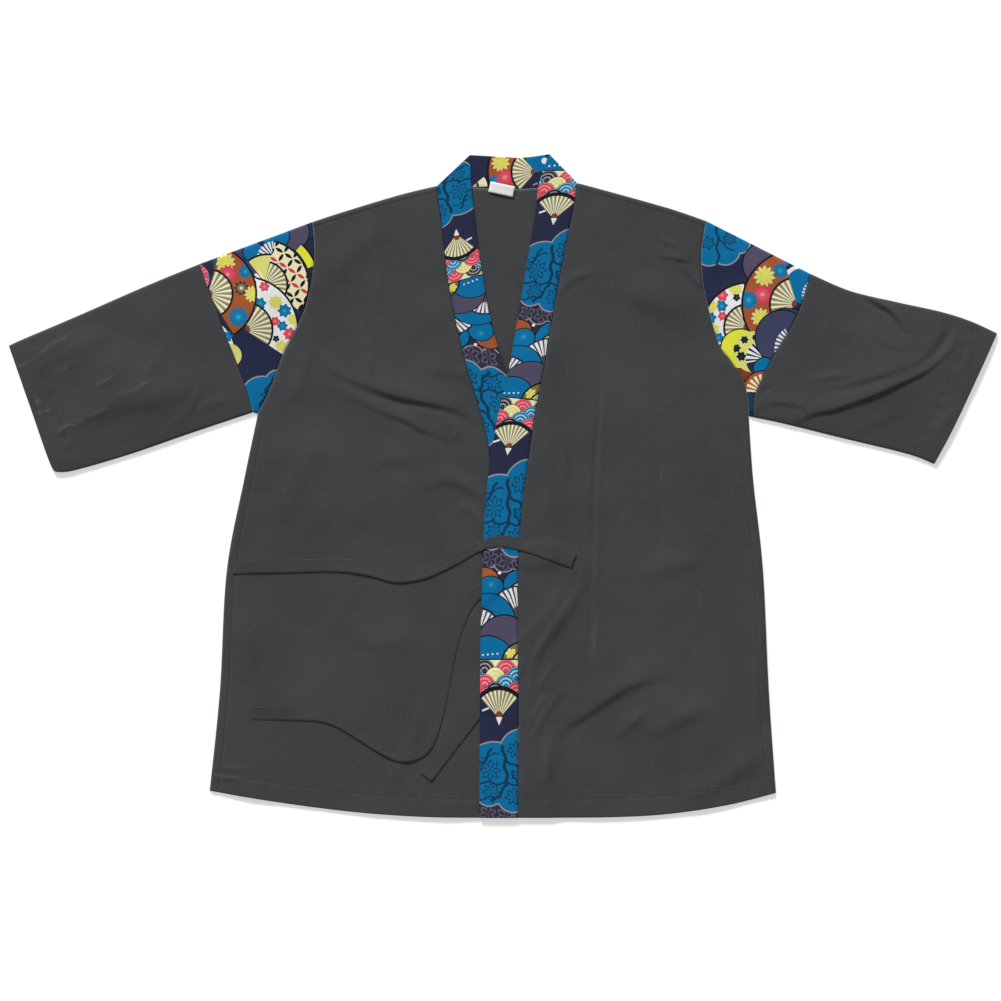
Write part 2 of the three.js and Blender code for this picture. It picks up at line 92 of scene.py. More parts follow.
# Outlines
HEM = [
    (-329, -341), (-284, -349), (-217, -359), (-150, -366.5), (-82, -370.5), (20, -371.5), (120, -370.8),
    (186, -367), (254, -356.5), (305, -343.5),
]
SIDE_RIGHT = [(-329, -341), (-317.5, -228), (-310, -96), (-290.5, 7), (-275, 80.6)]
SIDE_LEFT = [(305, -343.5), (297, -228), (290.5, -94), (279.5, 7), (274.5, 78)]
ARMHOLE_RIGHT = [
    (-275, 80.6), (-261.5, 107.5), (-247, 146.7), (-230, 180.3), (-219, 209), (-211.5, 257),
    (-213.5, 295.7),
]
ARMHOLE_LEFT = [
    (274.5, 78), (270.5, 113), (255, 139), (241.5, 158), (229, 200), (223, 230), (221.5, 262),
    (226.5, 296.8),
]
SHOULDER_RIGHT = [(-213.5, 295.7), (-183, 305.8), (-116, 326), (-74.5, 336)]
SHOULDER_LEFT = [(226.5, 296.8), (186.5, 310.5), (119, 329.5), (82.5, 339.4)]
BACK_NECK = [(-74.5, 335.5), (-30, 333.5), (6, 331.5), (44, 334), (82.5, 338.8)]
COLLAR_TOP = [(-37.5, 370.5), (0, 368.5), (20, 367.5), (51, 371.5)]
SLEEVE_RIGHT = {
    "seam": [
        (-340, 248.6), (-329.8, 218.4), (-321, 199), (-313, 174.5), (-299, 140), (-287.5, 108),
        (-280.5, 82.3),
    ],
    "upper": [(-340, 248.6), (-400, 224), (-480, 189), (-540, 163.5), (-553.5, 157)],
    "under": [(-280.5, 82.3), (-350, 59), (-418, 35.5), (-480, 17.5), (-500, 15.5)],
    "cuff": [(-553.5, 157), (-531, 93), (-507.5, 26), (-500, 15.5)],
}
SLEEVE_LEFT = {
    "seam": [
        (343.5, 237.5), (334.5, 207), (320, 174.7), (304, 149), (288, 118), (279.8, 97), (279.4, 76.8),
    ],
    "upper": [(343.5, 237.5), (388, 218.5), (440, 206), (490, 195), (523, 184.5), (552.5, 171)],
    "under": [(279.4, 76.8), (314, 69.5), (377, 54), (452, 35.8), (482, 24.5)],
    "cuff": [(552.5, 171), (533, 128), (505, 68), (482, 24.5)],
}
# The collar band: y, then x of its free edge and of its sewn edge
BAND_LEFT = [
    (-371.3, -26.9, 16.2), (-240, -26.3, 16.6), (-170, -25.6, 16.2), (-90, -23.3, 16.6), (-30, -20.7, 19.8),
    (28, -15, 27.4), (83, -5, 35.5), (126, 5, 44), (184, 15.1, 53.8), (249, 26.3, 65.6), (306, 35.6, 77),
    (339, 40, 82.5),
]
BAND_RIGHT = [
    (-371.3, 31, -11.5), (-170, 29.5, -12.2), (-30, 27, -13), (20, 25, -14), (48, 22, -17), (76, 16.5, -24),
    (102, 10.5, -31.5), (129, 2.8, -39.6), (160, -7.4, -47.5), (188, -14, -54), (238, -23.6, -63),
    (290, -31, -68.5), (335.5, -35.6, -74.5),
]

# Ties: x, y, width and lean along each; below 0 a tie tips to its lower edge, else that edge stands up
TIES = {
    "tie_side_outer": [
        (-303, -91, 15, 0.0), (-239, -89.6, 15, 0.1), (-183, -88.5, 15, 0.0), (-149.5, -93, 15, 0.2),
        (-119, -101, 15, 0.9), (-88, -96.5, 14, 1.0), (-54.3, -82.5, 13, 0.7), (-26.3, -67.5, 11, 0.2),
        (-3.9, -62, 10, 0.0), (24, -66, 14, 0.1), (52, -75, 15, 0.2), (79, -85, 15, 0.0),
    ],
    "tie_front_outer": [
        (-15.5, -110, 15, 0.0), (-33, -124, 13, -0.4), (-43.5, -139, 14, -1.0), (-53.5, -163.5, 14, -1.2),
        (-61, -189.3, 15, -1.3), (-66.5, -217.3, 15, -1.2), (-72.5, -247.5, 15, -0.9),
        (-80.5, -277, 14, -0.4), (-90, -294, 14, 0.3), (-105, -301.5, 13, 0.8), (-120, -300.5, 13, 0.9),
        (-141, -289.5, 14, 0.6), (-163, -275, 15, 0.5), (-183, -263, 15, 0.2), (-206, -256, 15, -0.5),
        (-237, -254.8, 15, -1.1), (-283, -254.2, 15, -1.2),
    ],
    "tie_front_inner": [
        (30.6, -80, 15, 0.0), (47, -75, 15, 0.0), (65.5, -80.6, 15, 0.0), (76.7, -99.7, 15, 0.0),
        (71, -125.4, 15, 0.0), (52, -152.3, 15, 0.0), (32, -174.7, 15, 0.0), (7.3, -203.8, 15, 0.0),
        (-19.6, -238.6, 15, 0.0), (-37.5, -262.6, 15, -0.3), (-67.8, -301.8, 15, -0.2),
        (-86.8, -326.5, 15, 0.3),
    ],
}

# The folds: height, half width on the left of the run, half width on its right, then the run of plan points
FOLDS = {
    "front_right": [
        (2.6, 17, 4.5, [
            (-207, 152), (-188, 128), (-165, 118), (-121, 102), (-72, 92), (-48, 85), (-20, 64),
        ]),
        (-1.1, 3, 4.0, [(-165, 110), (-121, 95), (-72, 85), (-40, 74)]),
        (1.7, 9, 4.5, [(-205, 117), (-177, 104), (-133, 84), (-110, 75), (-92, 65), (-58, 54)]),
        (-0.8, 3, 3.0, [(-132, 77), (-110, 68), (-92, 58), (-78, 53)]),
        (2.0, 11, 4.5, [(-90, -4), (-66, 7), (-46, 1), (-29, -11), (-17, -30)]),
        (1.5, 7, 3.0, [(-50, -20), (-33, -31), (-22, -52)]),
        (1.1, 9, 5.0, [(-80, 131), (-56, 126), (-34, 121)]),
        (1.2, 4, 3.0, [(-62, 72), (-53, 64), (-56, 50)]),
        (1.8, 9, 6.0, [(-300, -110), (-290, -150), (-284, -184), (-277, -210)]),
        (1.3, 13, 10, [(-160, 20), (-112, 34), (-74, 30)]),
        (1.5, 16, 12, [(-250, -40), (-226, 16), (-204, 62)]),
        (1.4, 18, 14, [(-200, -150), (-140, -172), (-90, -160)]),
        (1.1, 9, 7.0, [(-128, -338), (-100, -280), (-92, -236)]),
        (1.0, 3, 2.5, [(-324, -315), (-306, -317), (-286, -317)]),
        (0.9, 3, 2.5, [(-326, -326), (-304, -327), (-292, -329)]),
        (1.0, 5, 4.0, [(-162, 168), (-150, 150), (-146, 124)]),
        (1.6, 17, 13, [(-212, 214), (-170, 262), (-122, 300)]),
        (0.9, 5, 5.0, [(-196, 300), (-182, 240), (-176, 190)]),
        (0.8, 5, 5.0, [(-150, 312), (-141, 250), (-142, 190)]),
        (0.9, 8, 6.0, [(-240, 92), (-224, 124), (-214, 164)]),
    ],
    "front_left": [
        (2.5, 17, 6.5, [
            (64, -282), (71, -266), (92, -254), (115, -238), (138, -223), (166, -214), (196, -204),
        ]),
        (-0.8, 4, 6.0, [(66, -286), (76, -273), (94, -262), (116, -246), (140, -232)]),
        (1.3, 9, 5.0, [(125, -281), (142, -267), (166, -248)]),
        (1.9, 15, 9.0, [(160, -278), (198, -260), (234, -244)]),
        (1.5, 8, 2.0, [(172, 257), (188, 255.5), (210, 251)]),
        (1.5, 6, 2.5, [(200, 246), (212, 233), (221, 219)]),
        (2.6, 24, 15, [(122, 262), (134, 232), (158, 212), (190, 202), (219, 196)]),
        (-1.5, 3, 2.4, [(108, 190), (107, 96), (101.5, 7), (100, -60), (97, -150), (89, -244)]),
        (1.0, 4, 7.0, [(112, 120), (106, 7), (104.5, -60), (101, -160)]),
        (1.3, 6, 3.0, [(85, -92), (83, -116), (69, -137), (55, -158), (40, -181), (29, -217), (25, -268)]),
        (1.1, 3, 2.5, [(60, -196), (46, -214), (36, -232)]),
        (1.1, 4, 3.0, [(51, -232), (38, -249), (28, -272)]),
        (1.2, 4, 3.0, [(68, -226), (48, -251), (31, -286)]),
        (1.6, 6, 5.0, [(57, -268), (50, -306), (46, -346)]),
        (0.9, 3, 3.0, [(25, -300), (24, -330), (29, -356)]),
        (1.6, 13, 9.0, [(156, -102), (192, -88), (226, -84)]),
        (1.2, 6, 4.0, [(60, 214), (78, 232), (104, 240)]),
        (1.8, 9, 7.0, [(272, -70), (282, -128), (285, -200), (286, -280)]),
        (1.7, 14, 10, [(196, -346), (236, -334), (276, -306), (296, -286)]),
        (1.0, 6, 5.0, [(214, 92), (222, 40), (236, -20)]),
        (0.9, 5, 4.0, [(60, 96), (68, 40), (62, -10)]),
        (-0.9, 5, 5.0, [(170, 20), (176, -40), (174, -96)]),
        (0.8, 4, 4.0, [(168, 300), (178, 276), (200, 268)]),
        (1.2, 7, 5.0, [(232, 120), (246, 80), (262, 48)]),
    ],
    "sleeve_right": [
        (1.6, 18, 18, [(-236, 268), (-268, 220), (-276, 160)]),
        (2.0, 16, 12, [(-506, 60), (-455, 84), (-392, 99), (-330, 112)]),
        (1.8, 14, 14, [(-535, 140), (-490, 150), (-430, 178)]),
        (0.6, 5, 3.0, [(-504, 58), (-486, 67), (-471, 73), (-440, 86)]),
        (0.5, 5, 3.0, [(-446, 92), (-418, 104), (-390, 118)]),
        (0.4, 4, 3.0, [(-545, 133), (-530, 138), (-512, 150), (-484, 168), (-470, 178)]),
        (0.4, 4, 3.0, [(-500, 126), (-486, 134), (-472, 139)]),
        (0.4, 4, 3.0, [(-456, 110), (-442, 118), (-430, 123)]),
        (0.5, 4, 3.0, [(-524, 96), (-512, 84), (-498, 82)]),
        (-2.2, 18, 22, [(-476, 196), (-436, 168), (-392, 138)]),
        (0.8, 14, 10, [(-420, 48), (-400, 88), (-404, 136)]),
        (1.0, 6, 5.0, [(-344, 84), (-320, 94), (-300, 96)]),
        (0.9, 5, 4.0, [(-380, 60), (-352, 84), (-336, 120)]),
    ],
    "sleeve_left": [
        (2.0, 16, 12, [(250, 268), (286, 240), (312, 214)]),
        (3.3, 22, 2.2, [
            (310, 62), (334, 75), (348, 82), (368, 85), (387, 92), (415, 102), (443, 115), (471, 128),
            (488, 141), (502, 156), (512, 178),
        ]),
        (1.6, 12, 2.0, [(300, 56), (326, 70), (348, 81), (372, 86), (392, 94)]),
        (-1.6, 4, 9.0, [
            (338, 104), (366, 106), (388, 109), (416, 117), (444, 126), (468, 137), (487, 155), (497, 174),
        ]),
        (-2.6, 6, 5.0, [(474, 140), (488, 154), (497, 169), (498, 183), (493, 196)]),
        (-2.4, 2.4, 4.0, [(390, 222), (403, 210), (416, 201), (430, 193), (439, 182), (450, 166)]),
        (3.0, 12, 2.0, [(396, 225), (405, 214), (419, 205), (433, 196), (442, 185), (453, 170)]),
        (0.9, 8, 4.0, [(398, 186), (411, 175), (425, 163), (436, 157), (456, 154)]),
        (1.7, 9, 2.4, [(276, 82), (290, 89), (304, 93), (322, 92), (344, 86)]),
        (-1.0, 3, 3.0, [(284, 100), (292, 106), (304, 112)]),
        (0.9, 8, 5.0, [(380, 56), (400, 64), (422, 74), (446, 84)]),
        (1.2, 5, 4.0, [(338, 118), (362, 122), (390, 124)]),
        (1.2, 9, 7.0, [(356, 200), (376, 182), (384, 158)]),
        (1.0, 6, 5.0, [(478, 44), (492, 70), (512, 92)]),
        (1.1, 5, 4.0, [(512, 170), (520, 150), (516, 128)]),
    ],
}
# The underside of the back: shallow creases, as raised runs
FOLDS_BELOW = [
    (0.45, 6, [(-240, -60), (-120, -20), (20, -48)]),
    (0.40, 5, [(40, 120), (120, 160), (210, 150)]),
    (0.35, 7, [(-60, 300), (-70, 200), (-40, 110)]),
    (0.40, 5, [(-180, -300), (-120, -240), (-30, -236)]),
    (0.45, 6, [(90, -330), (150, -230), (250, -190)]),
    (0.30, 4, [(-250, 120), (-190, 110), (-130, 140)]),
]
# Painted highlights: pale streaks painted along fold crests and a pressed crease: strength, half width,
# then the run
HIGHLIGHT_RUNS = {
    "sleeve_right": [
        (1.0, 2.2, [(-504, 59), (-484, 68), (-468, 75)]), (0.7, 2.0, [(-464, 77), (-440, 89)]),
        (0.6, 2.0, [(-426, 100), (-402, 114), (-384, 123)]),
        (0.7, 2.2, [(-528, 139), (-514, 152), (-502, 161), (-480, 172)]),
        (0.7, 2.0, [(-545, 133), (-526, 139)]), (0.7, 2.2, [(-458, 111), (-434, 124)]),
        (0.9, 2.4, [(-526, 106), (-518, 88)]), (0.9, 2.2, [(-522, 82), (-504, 85)]),
        (0.6, 2.4, [(-504, 126), (-486, 134)]),
    ],
    "front_left": [
        (0.9, 1.6, [(104.5, -142), (102, -168), (100, -190)]),
        (0.5, 2.0, [(215, -110), (221, -130), (219, -138)]), (0.4, 2.4, [(172, -66), (182, -76)]),
        (0.4, 1.6, [(176, 28), (178, 2)]),
    ],
    "front_right": [(0.5, 1.8, [(-51, -146), (-46, -172)]), (0.3, 1.6, [(-120, 8), (-116, -16)])],
}
# Broad rises: x, y, radius, height
PUFFS = {
    "front_right": [(-190, -10, 105, 2.6), (-170, -250, 95, 2.2)],
    "front_left": [(175, 60, 95, 2.6), (200, -250, 90, 2.2)],
    "sleeve_right": [(-420, 115, 80, 2.6), (-275, 190, 55, 1.6)],
    "sleeve_left": [(420, 120, 75, 2.4), (275, 185, 55, 1.6)],
}
# Unevenness: wavelength, direction in degrees, amplitude
WAVES = [
    (131, 24, 0.34), (96, -47, 0.24), (67, 78, 0.15), (47, 12, 0.08), (38, -71, 0.06), (27, 40, 0.03),
    (19, -20, 0.02),
]
# How the print lies along each band: plan y, tiles along it, its shift across the band, and its lean
PRINT_PLACES = {
    1: [
        (371.5, -0.31, -2, 0), (292, 0.0, -2, 0), (205, 0.307, -2, 0), (185.6, 0.382, -1, 0),
        (156.5, 0.511, 0, 0), (121.9, 0.657, 1, 0), (98.6, 0.759, 2, -0.1), (34.5, 1.0, 3, 0),
        (-91.6, 1.382, 0, 0), (-120.5, 1.511, 0, 0), (-168.2, 1.657, 0, 0), (-193, 1.759, 0, 0),
        (-267.6, 2.0, 0, 0), (-372, 2.37, 0, 0),
    ],
    -1: [
        (371.5, 0.36, -4, 0.15), (288, 0.0, -4, 0.15), (231, -0.241, -5, 0.25), (153.4, -0.618, -5.6, 0.05),
        (130, -0.69, -6, 0), (39, -1.0, -6, 0), (-192, -1.8, -6, 0), (-372, -2.4, -6, 0),
    ],
}

# Pressed lines: width and depth
GROOVES = {
    "hem stitches": (0.9, 0.4), "hem fold": (0.8, 0.25), "side seam": (1.1, 0.55),
    "shoulder seam": (1.1, 0.5), "armhole": (1.6, 0.9), "band seam": (1.3, 0.7), "sleeve seam": (1.3, 0.6),
    "neck seam": (1.3, 0.3), "free edge stitches": (0.6, 0.22), "sewn edge stitches": (0.5, 0.2),
}
# Distances from an edge to the lines along it
HEM_DEPTH = {"body": 21.0, "cuff": 26.0}
SEAM_LINES = {"side": 10.0, "shoulder": 7.0}
SHOULDER_LINE = 8.6
BAND_STITCHES = {"free": 1.8, "sewn": 2.2}
TIE_STITCHES = 1.5

HEM_STEP, HEM_PUCKER = 0.25, 0.22
SIDE_RADIUS, SIDE_FOOT = 3.2, 1.0
BAND_CROWN, BAND_WAVE = 0.35, 0.12
BAND_EDGE_RADIUS, BAND_EDGE_DROP = 0.8, 0.4
COLLAR_CROWN, COLLAR_WAVE, COLLAR_RADIUS = 0.3, 0.2, 1.6
BACK_WAVE = 0.3
SLEEVE_RADIUS_ABOVE, SLEEVE_RADIUS_BELOW = 3.0, 2.2
FOLD_POINTS = np.linspace(0, 1, 17)
CROSSING = (142, 185)  # plan y between which the left front goes over to the right one
OVERLAP_EDGE = (48, 72)  # plan x between which it comes down beside the right front
HIDDEN_TIES = [TIES["tie_front_inner"][:9], TIES["tie_front_outer"][:2]]
TIE_SLOPE = (8.0, 20.0)  # distances from a hidden tie between which the cloth over it comes down

# Thickness of the shells, and the share of it that their rims are rounded by
SHELL, BAND_SHELL, COLLAR_SHELL, TIE_SHELL, LABEL_SHELL = 0.7, 1.1, 1.0, 0.65, 0.5
RIM_ROUND = 0.2
# Steps of the grids: the coarse step, then finer ones in zones of (from, to, step)
GRIDS = {
    "front columns": [2.9, (0, 4, 0.8), (-14, 0, 0.9)],
    "front rows": [2.9, (0, 2, 0.8), (18, 24, 0.9), (-9, 0, 0.9)],
    "band columns": [1.5, (0, 3, 0.5), (-4, 0, 0.5)],
    "band rows": [2.4, (0, 2, 0.7), (-3, 0, 0.7)],
    "back columns": [6.0, (0, 5, 1.0), (-5, 0, 1.0)],
    "back rows": [6.0, (-120, 0, 2.5)],
    "collar columns": [2.0],
    "collar rows": [1.4, (0, 3, 0.5), (-4, 0, 0.5)],
    "sleeve columns": [2.0, (0, 4, 0.8), (-4, 0, 0.8)],
    "sleeve top rows": [2.6, (0, 4, 0.8), (-4, 0, 0.8)],
    "sleeve rows": [2.0, (0, 3, 0.8), (-30, -22, 0.8), (-2, 0, 0.6)],
}
TIE_STEP = 2.5
TIE_ACROSS = np.array([-1, -0.97, -0.75, -0.35, 0, 0.35, 0.75, 0.97, 1])
TIE_LEVEL = 0.6  # the share of its width at which a tipped tie keeps its height
TIE_WOBBLE = 0.08
RAY_TOP = 0.2
LABEL_SIZE, LABEL_TURN = (28.0, 12.0), -0.21

CLOTH_MAP = "Cloth"
HIGHLIGHT_ATTRIBUTE = "painted_highlight"
TILE = 280.0  # length of the band's print
UNDER_SHIFT = 300.0  # from a sleeve's upper side to its underside on the cloth

PLAN_LOW_X = min(x for x, _ in SLEEVE_RIGHT["cuff"])
PLAN_LOW_Y = min(y for _, y in HEM)
SHIFT = (CAD_BOX[0][0] / MM - PLAN_LOW_X, CAD_BOX[0][1] / MM - PLAN_LOW_Y)


# Plan curves and grids
class Curve:
    """A smooth curve through plan points, with places on it given as shares of its length."""

    DENSE = 40

    def __init__(self, points, smooth=True):
        rows = np.asarray(points, float)
        self.rows = self.through(rows) if smooth and len(rows) > 2 else rows
        steps = np.linalg.norm(np.diff(self.rows, axis=0), axis=1)
        self.lengths = np.concatenate([[0], np.cumsum(steps)])
        self.length = float(self.lengths[-1])

    def through(self, rows):
        padded = np.vstack([rows[0], rows, rows[-1]])
        t = np.linspace(0, 1, self.DENSE, endpoint=False)[:, None]
        dense = []
        for a, b, c, d in zip(padded, padded[1:], padded[2:], padded[3:]):
            start, end = (c - a) / 2, (d - b) / 2
            cubic = 2 * b - 2 * c + start + end
            square = 3 * c - 3 * b - 2 * start - end
            dense.append(cubic * t**3 + square * t**2 + start * t + b)
        return np.vstack([*dense, rows[-1]])

    def at(self, shares):
        along = np.asarray(shares, float) * self.length
        return np.stack([np.interp(along, self.lengths, column) for column in self.rows.T], axis=-1)

    def reversed(self):
        return Curve(self.rows[::-1], smooth=False)

    def moved(self, dx, dy=0.0):
        return Curve(self.rows + (dx, dy), smooth=False)

    def offset(self, distance):
        along = np.gradient(self.rows, axis=0)
        along /= np.linalg.norm(along, axis=1)[:, None] + 1e-9
        return Curve(self.rows + distance * np.stack([-along[:, 1], along[:, 0]], axis=1), smooth=False)

    def starting_at(self, start):
        share = (self.lengths / self.length)[:, None]
        return Curve(self.rows + (start - self.rows[0]) * (1 - share), smooth=False)


def joined(*curves):
    return Curve(np.vstack([curves[0].rows, *(curve.rows[1:] for curve in curves[1:])]), smooth=False)


def between(first, second, share):
    return first * (1 - share) + second * share


def patch(low, high, near, far, columns, rows):
    """A grid between four curves: low and high run along the columns, near and far along the rows."""
    u, v = columns[None, :, None], rows[:, None, None]
    bottom, top = low.at(columns)[None], high.at(columns)[None]
    left, right = near.at(rows)[:, None], far.at(rows)[:, None]
    corners = (
        bottom[:, :1] * (1 - u) * (1 - v) + bottom[:, -1:] * u * (1 - v)
        + top[:, :1] * (1 - u) * v + top[:, -1:] * u * v
    )
    return bottom * (1 - v) + top * v + left * (1 - u) + right * u - corners


def stations(length, coarse, *zones):
    """Shares of a length, in coarse steps with finer ones in zones of (from, to, step).

    All are in millimetres. A zone that starts below 0 is counted from the far end.
    """
    spans = []
    for low, high, fine in zones:
        origin = length if low < 0 else 0
        spans.append((low + origin, high + origin, fine))
    places = [0.0]
    while places[-1] < length:
        at = places[-1]
        step = min([coarse] + [fine for low, high, fine in spans if low - coarse <= at < high])
        places.append(at + step)
    places = np.array(places[:-1] if length - places[-2] > 0.3 * coarse else places[:-2])
    return np.append(places, length) / length


def grid_lengths(plan):
    """Distances along the rows and the columns of a grid, from its first column and first row."""
    across = np.linalg.norm(np.diff(plan, axis=1), axis=2)
    along = np.linalg.norm(np.diff(plan, axis=0), axis=2)
    x = np.concatenate([np.zeros((len(plan), 1)), np.cumsum(across, axis=1)], axis=1)
    y = np.concatenate([np.zeros((1, plan.shape[1])), np.cumsum(along, axis=0)], axis=0)
    return x, y


# Heights
def smoothstep(value, low, high):
    t = np.clip((value - low) / (high - low), 0, 1)
    return t * t * (3 - 2 * t)


def nearest(path, plan):
    """For each plan point the distance to a path, positive to the left of it, and how far along it lies."""
    best = np.full(plan.shape[:-1], np.inf)
    signed = np.zeros_like(best)
    along = np.zeros_like(best)
    steps = len(path) - 1
    for i in range(steps):
        a, run = path[i], path[i + 1] - path[i]
        rel = plan - a
        t = np.clip((rel @ run) / (run @ run), 0, 1)
        gap = rel - t[..., None] * run
        distance = np.hypot(gap[..., 0], gap[..., 1])
        side = np.sign(run[0] * rel[..., 1] - run[1] * rel[..., 0])
        closer = distance < best
        best = np.where(closer, distance, best)
        signed = np.where(closer, distance * side, signed)
        along = np.where(closer, (i + t) / steps, along)
    return signed, along


def fold(plan, tall, left, right, run):
    """A ridge along a run, or a trough, with its own half width on either side."""
    distance, along = nearest(Curve(run).at(FOLD_POINTS), plan)
    across = distance / np.where(distance > 0, left, right)
    wander = 1 + 0.18 * np.sin(9 * along + tall)
    return tall * wander * np.sin(np.pi * along) ** 0.8 * np.exp(-(across**2))


def unevenness(plan):
    x, y = plan[..., 0], plan[..., 1]
    height = np.zeros(x.shape)
    for index, (wavelength, degrees, amplitude) in enumerate(WAVES):
        angle = math.radians(degrees)
        forward = x * math.cos(angle) + y * math.sin(angle)
        sideways = y * math.cos(angle) - x * math.sin(angle)
        bend = 0.35 * np.sin(2 * np.pi * sideways / (2.3 * wavelength) + index)
        height += amplitude * np.sin(2 * np.pi * (forward / wavelength + bend) + 1.7 * index)
    return height


def relief(name, plan):
    """The folds and puffs of one piece, and a little unevenness of the whole cloth."""
    height = unevenness(plan)
    for row in FOLDS[name]:
        height += fold(plan, *row)
    for x, y, radius, tall in PUFFS[name]:
        share = np.hypot(plan[..., 0] - x, plan[..., 1] - y) / radius
        height += tall * np.clip(1 - share**2, 0, 1) ** 2
    return height


# How strongly the painted highlights lie on each plan point, from their runs
def painted_highlight(name, plan):
    share = np.zeros(plan.shape[:-1])
    for strength, width, run in HIGHLIGHT_RUNS.get(name, []):
        share += fold(plan, strength, width, width, run)
    return share


def tie_centre(rows):
    return Curve([row[:2] for row in rows])


def tie_rise(plan):
    """How far the left front and its band are lifted by the ties under them."""
    paths = [tie_centre(rows).at(FOLD_POINTS) for rows in HIDDEN_TIES]
    distance = np.min([np.abs(nearest(path, plan)[0]) for path in paths], axis=0)
    return TIE_RISE * (1 - smoothstep(distance, *TIE_SLOPE))


def crossing_share(plan):
    return 1 - smoothstep(plan[..., 1], *CROSSING)


def left_band_height(plan):
    return UPPER_WALL + OVERLAP_RISE * crossing_share(plan) + tie_rise(plan) + BAND


def right_band_height(plan):
    return np.full(plan.shape[:-1], UPPER_WALL + BAND)


def left_front_height(plan):
    overlap = crossing_share(plan) * (1 - smoothstep(plan[..., 0], *OVERLAP_EDGE))
    return UPPER_WALL + OVERLAP_RISE * overlap + tie_rise(plan) + relief("front_left", plan) + CLOTH


def right_front_height(plan):
    return UPPER_WALL + relief("front_right", plan) + CLOTH


def groove(kind, distance):
    width, depth = GROOVES[kind]
    return -depth * np.exp(-((distance / width) ** 2))


def hem_relief(distance, along, depth):
    """A doubled hem: a step up, the stitched line pressed in and small puckers along it."""
    doubled = HEM_STEP * (1 - smoothstep(distance, depth - 0.5, depth + 2.5))
    from_stitches = distance - depth
    pucker = HEM_PUCKER * np.sin(along / 2.9 + 1.6 * np.sin(along / 17))
    pucker *= np.exp(-((from_stitches / 6) ** 2))
    return doubled + groove("hem stitches", from_stitches) + pucker + groove("hem fold", distance)


def rounded_edge(height, distance, radius, foot):
    """Brings the cloth down to a foot height in a quarter round near an edge."""
    share = np.clip(distance / radius, 0, 1)
    return foot + (height - foot) * np.sqrt(1 - (1 - share) ** 2)


# Meshes
def to_metres(points):
    return (np.asarray(points, float) + (*SHIFT, 0)) * MM


def with_height(plan, height):
    return np.dstack([plan, height])


def place(name, data):
    made = bpy.data.objects.new(name, data)
    bpy.context.scene.collection.objects.link(made)
    return made


def new_piece(name, points, faces, cloth):
    """A smooth piece of plan points with heights, in a cloth's material; the slot named beside the material
    is not used.
    """
    mesh = bpy.data.meshes.new(name)
    mesh.from_pydata(to_metres(points), [], faces)
    mesh.update()
    mesh.polygons.foreach_set("use_smooth", [True] * len(mesh.polygons))
    material, slot = cloth
    mesh.materials.append(material)
    made = place(name, mesh)
    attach(made, "root")
    return made


def set_map(made, uv):
    """Gives each vertex a place on the flat cloth, in millimetres."""
    layer = made.data.uv_layers.new(name=CLOTH_MAP)
    corners = np.empty(len(made.data.loops), dtype=np.int32)
    made.data.loops.foreach_get("vertex_index", corners)
    layer.data.foreach_set("uv", np.asarray(uv, float)[corners].ravel())


def paint_highlight(made, shares):
    """Marks the painted highlights on the outer wall, a share for each of its vertices."""
    highlight_marks = made.data.attributes.new(HIGHLIGHT_ATTRIBUTE, "FLOAT", "POINT")
    highlight_marks.data.foreach_set("value", np.concatenate([shares.ravel(), np.zeros(shares.size)]))


def quads(index):
    corners = (index[:-1, :-1], index[:-1, 1:], index[1:, 1:], index[1:, :-1])
    return np.stack(corners, axis=-1).reshape(-1, 4)


def two_walls(name, outer, inner, index, borders, uv, cloth):
    """Two walls of points, joined along their borders, which are closed loops of point numbers."""
    shift = outer.shape[0] * outer.shape[1]
    faces = [quads(index), quads(index)[:, ::-1] + shift]
    for border in borders:
        start, end = border[:-1], border[1:]
        faces.append(np.stack([end, start, start + shift, end + shift], axis=-1))
    faces = np.vstack(faces)
    if np.cross(outer[0, 1] - outer[0, 0], outer[1, 0] - outer[0, 0])[2] < 0:
        faces = faces[:, ::-1]
    made = new_piece(name, np.vstack([outer.reshape(-1, 3), inner.reshape(-1, 3)]), faces.tolist(), cloth)
    set_map(made, np.vstack([uv.reshape(-1, 2)] * 2))
    return made


def shell(name, plan, height, uv, cloth, thickness=SHELL):
    """A thin closed shell under a grid of plan points and their heights, its rim rounded."""
    top = with_height(plan, height)
    rows, columns = height.shape
    low = top.copy()
    low[..., 2] -= thickness
    rim = np.zeros((rows, columns), bool)
    rim[0] = rim[-1] = rim[:, 0] = rim[:, -1] = True
    top[rim, 2] -= RIM_ROUND * thickness
    low[rim, 2] += RIM_ROUND * thickness
    index = np.arange(rows * columns).reshape(rows, columns)
    sides = (index[0, :-1], index[:-1, -1], index[-1, :0:-1], index[:0:-1, 0], index[0, :1])
    border = np.concatenate(sides)
    return two_walls(name, top, low, index, [border], uv, cloth)


# Colours, as they show
def srgb(red, green, blue):
    def linear(value):
        share = value / 255
        return share / 12.92 if share <= 0.04045 else ((share + 0.055) / 1.055) ** 2.4

    return (linear(red), linear(green), linear(blue), 1.0)


TEAL = srgb(0, 108, 158)
LIGHT_TEAL = srgb(40, 160, 196)
SKY = srgb(150, 200, 216)
DEEP_TEAL = srgb(12, 56, 86)
NAVY = srgb(36, 42, 68)
INK = srgb(20, 20, 30)
CREAM = srgb(234, 228, 184)
BONE = srgb(238, 234, 212)
STICKS = srgb(158, 152, 100)
OLIVE = srgb(120, 112, 62)
WHITE = srgb(232, 232, 230)
MIST = srgb(150, 146, 152)
CRIMSON = srgb(214, 54, 80)
PINK = srgb(236, 136, 148)
PLUM = srgb(80, 74, 98)
SLATE = srgb(60, 64, 96)
DARK_PLUM = srgb(50, 46, 62)
PALE_PLUM = srgb(96, 90, 110)
BROWN = srgb(160, 84, 44)
RUST = srgb(128, 62, 38)
YELLOW = srgb(222, 224, 60)
PALE_YELLOW = srgb(218, 214, 118)

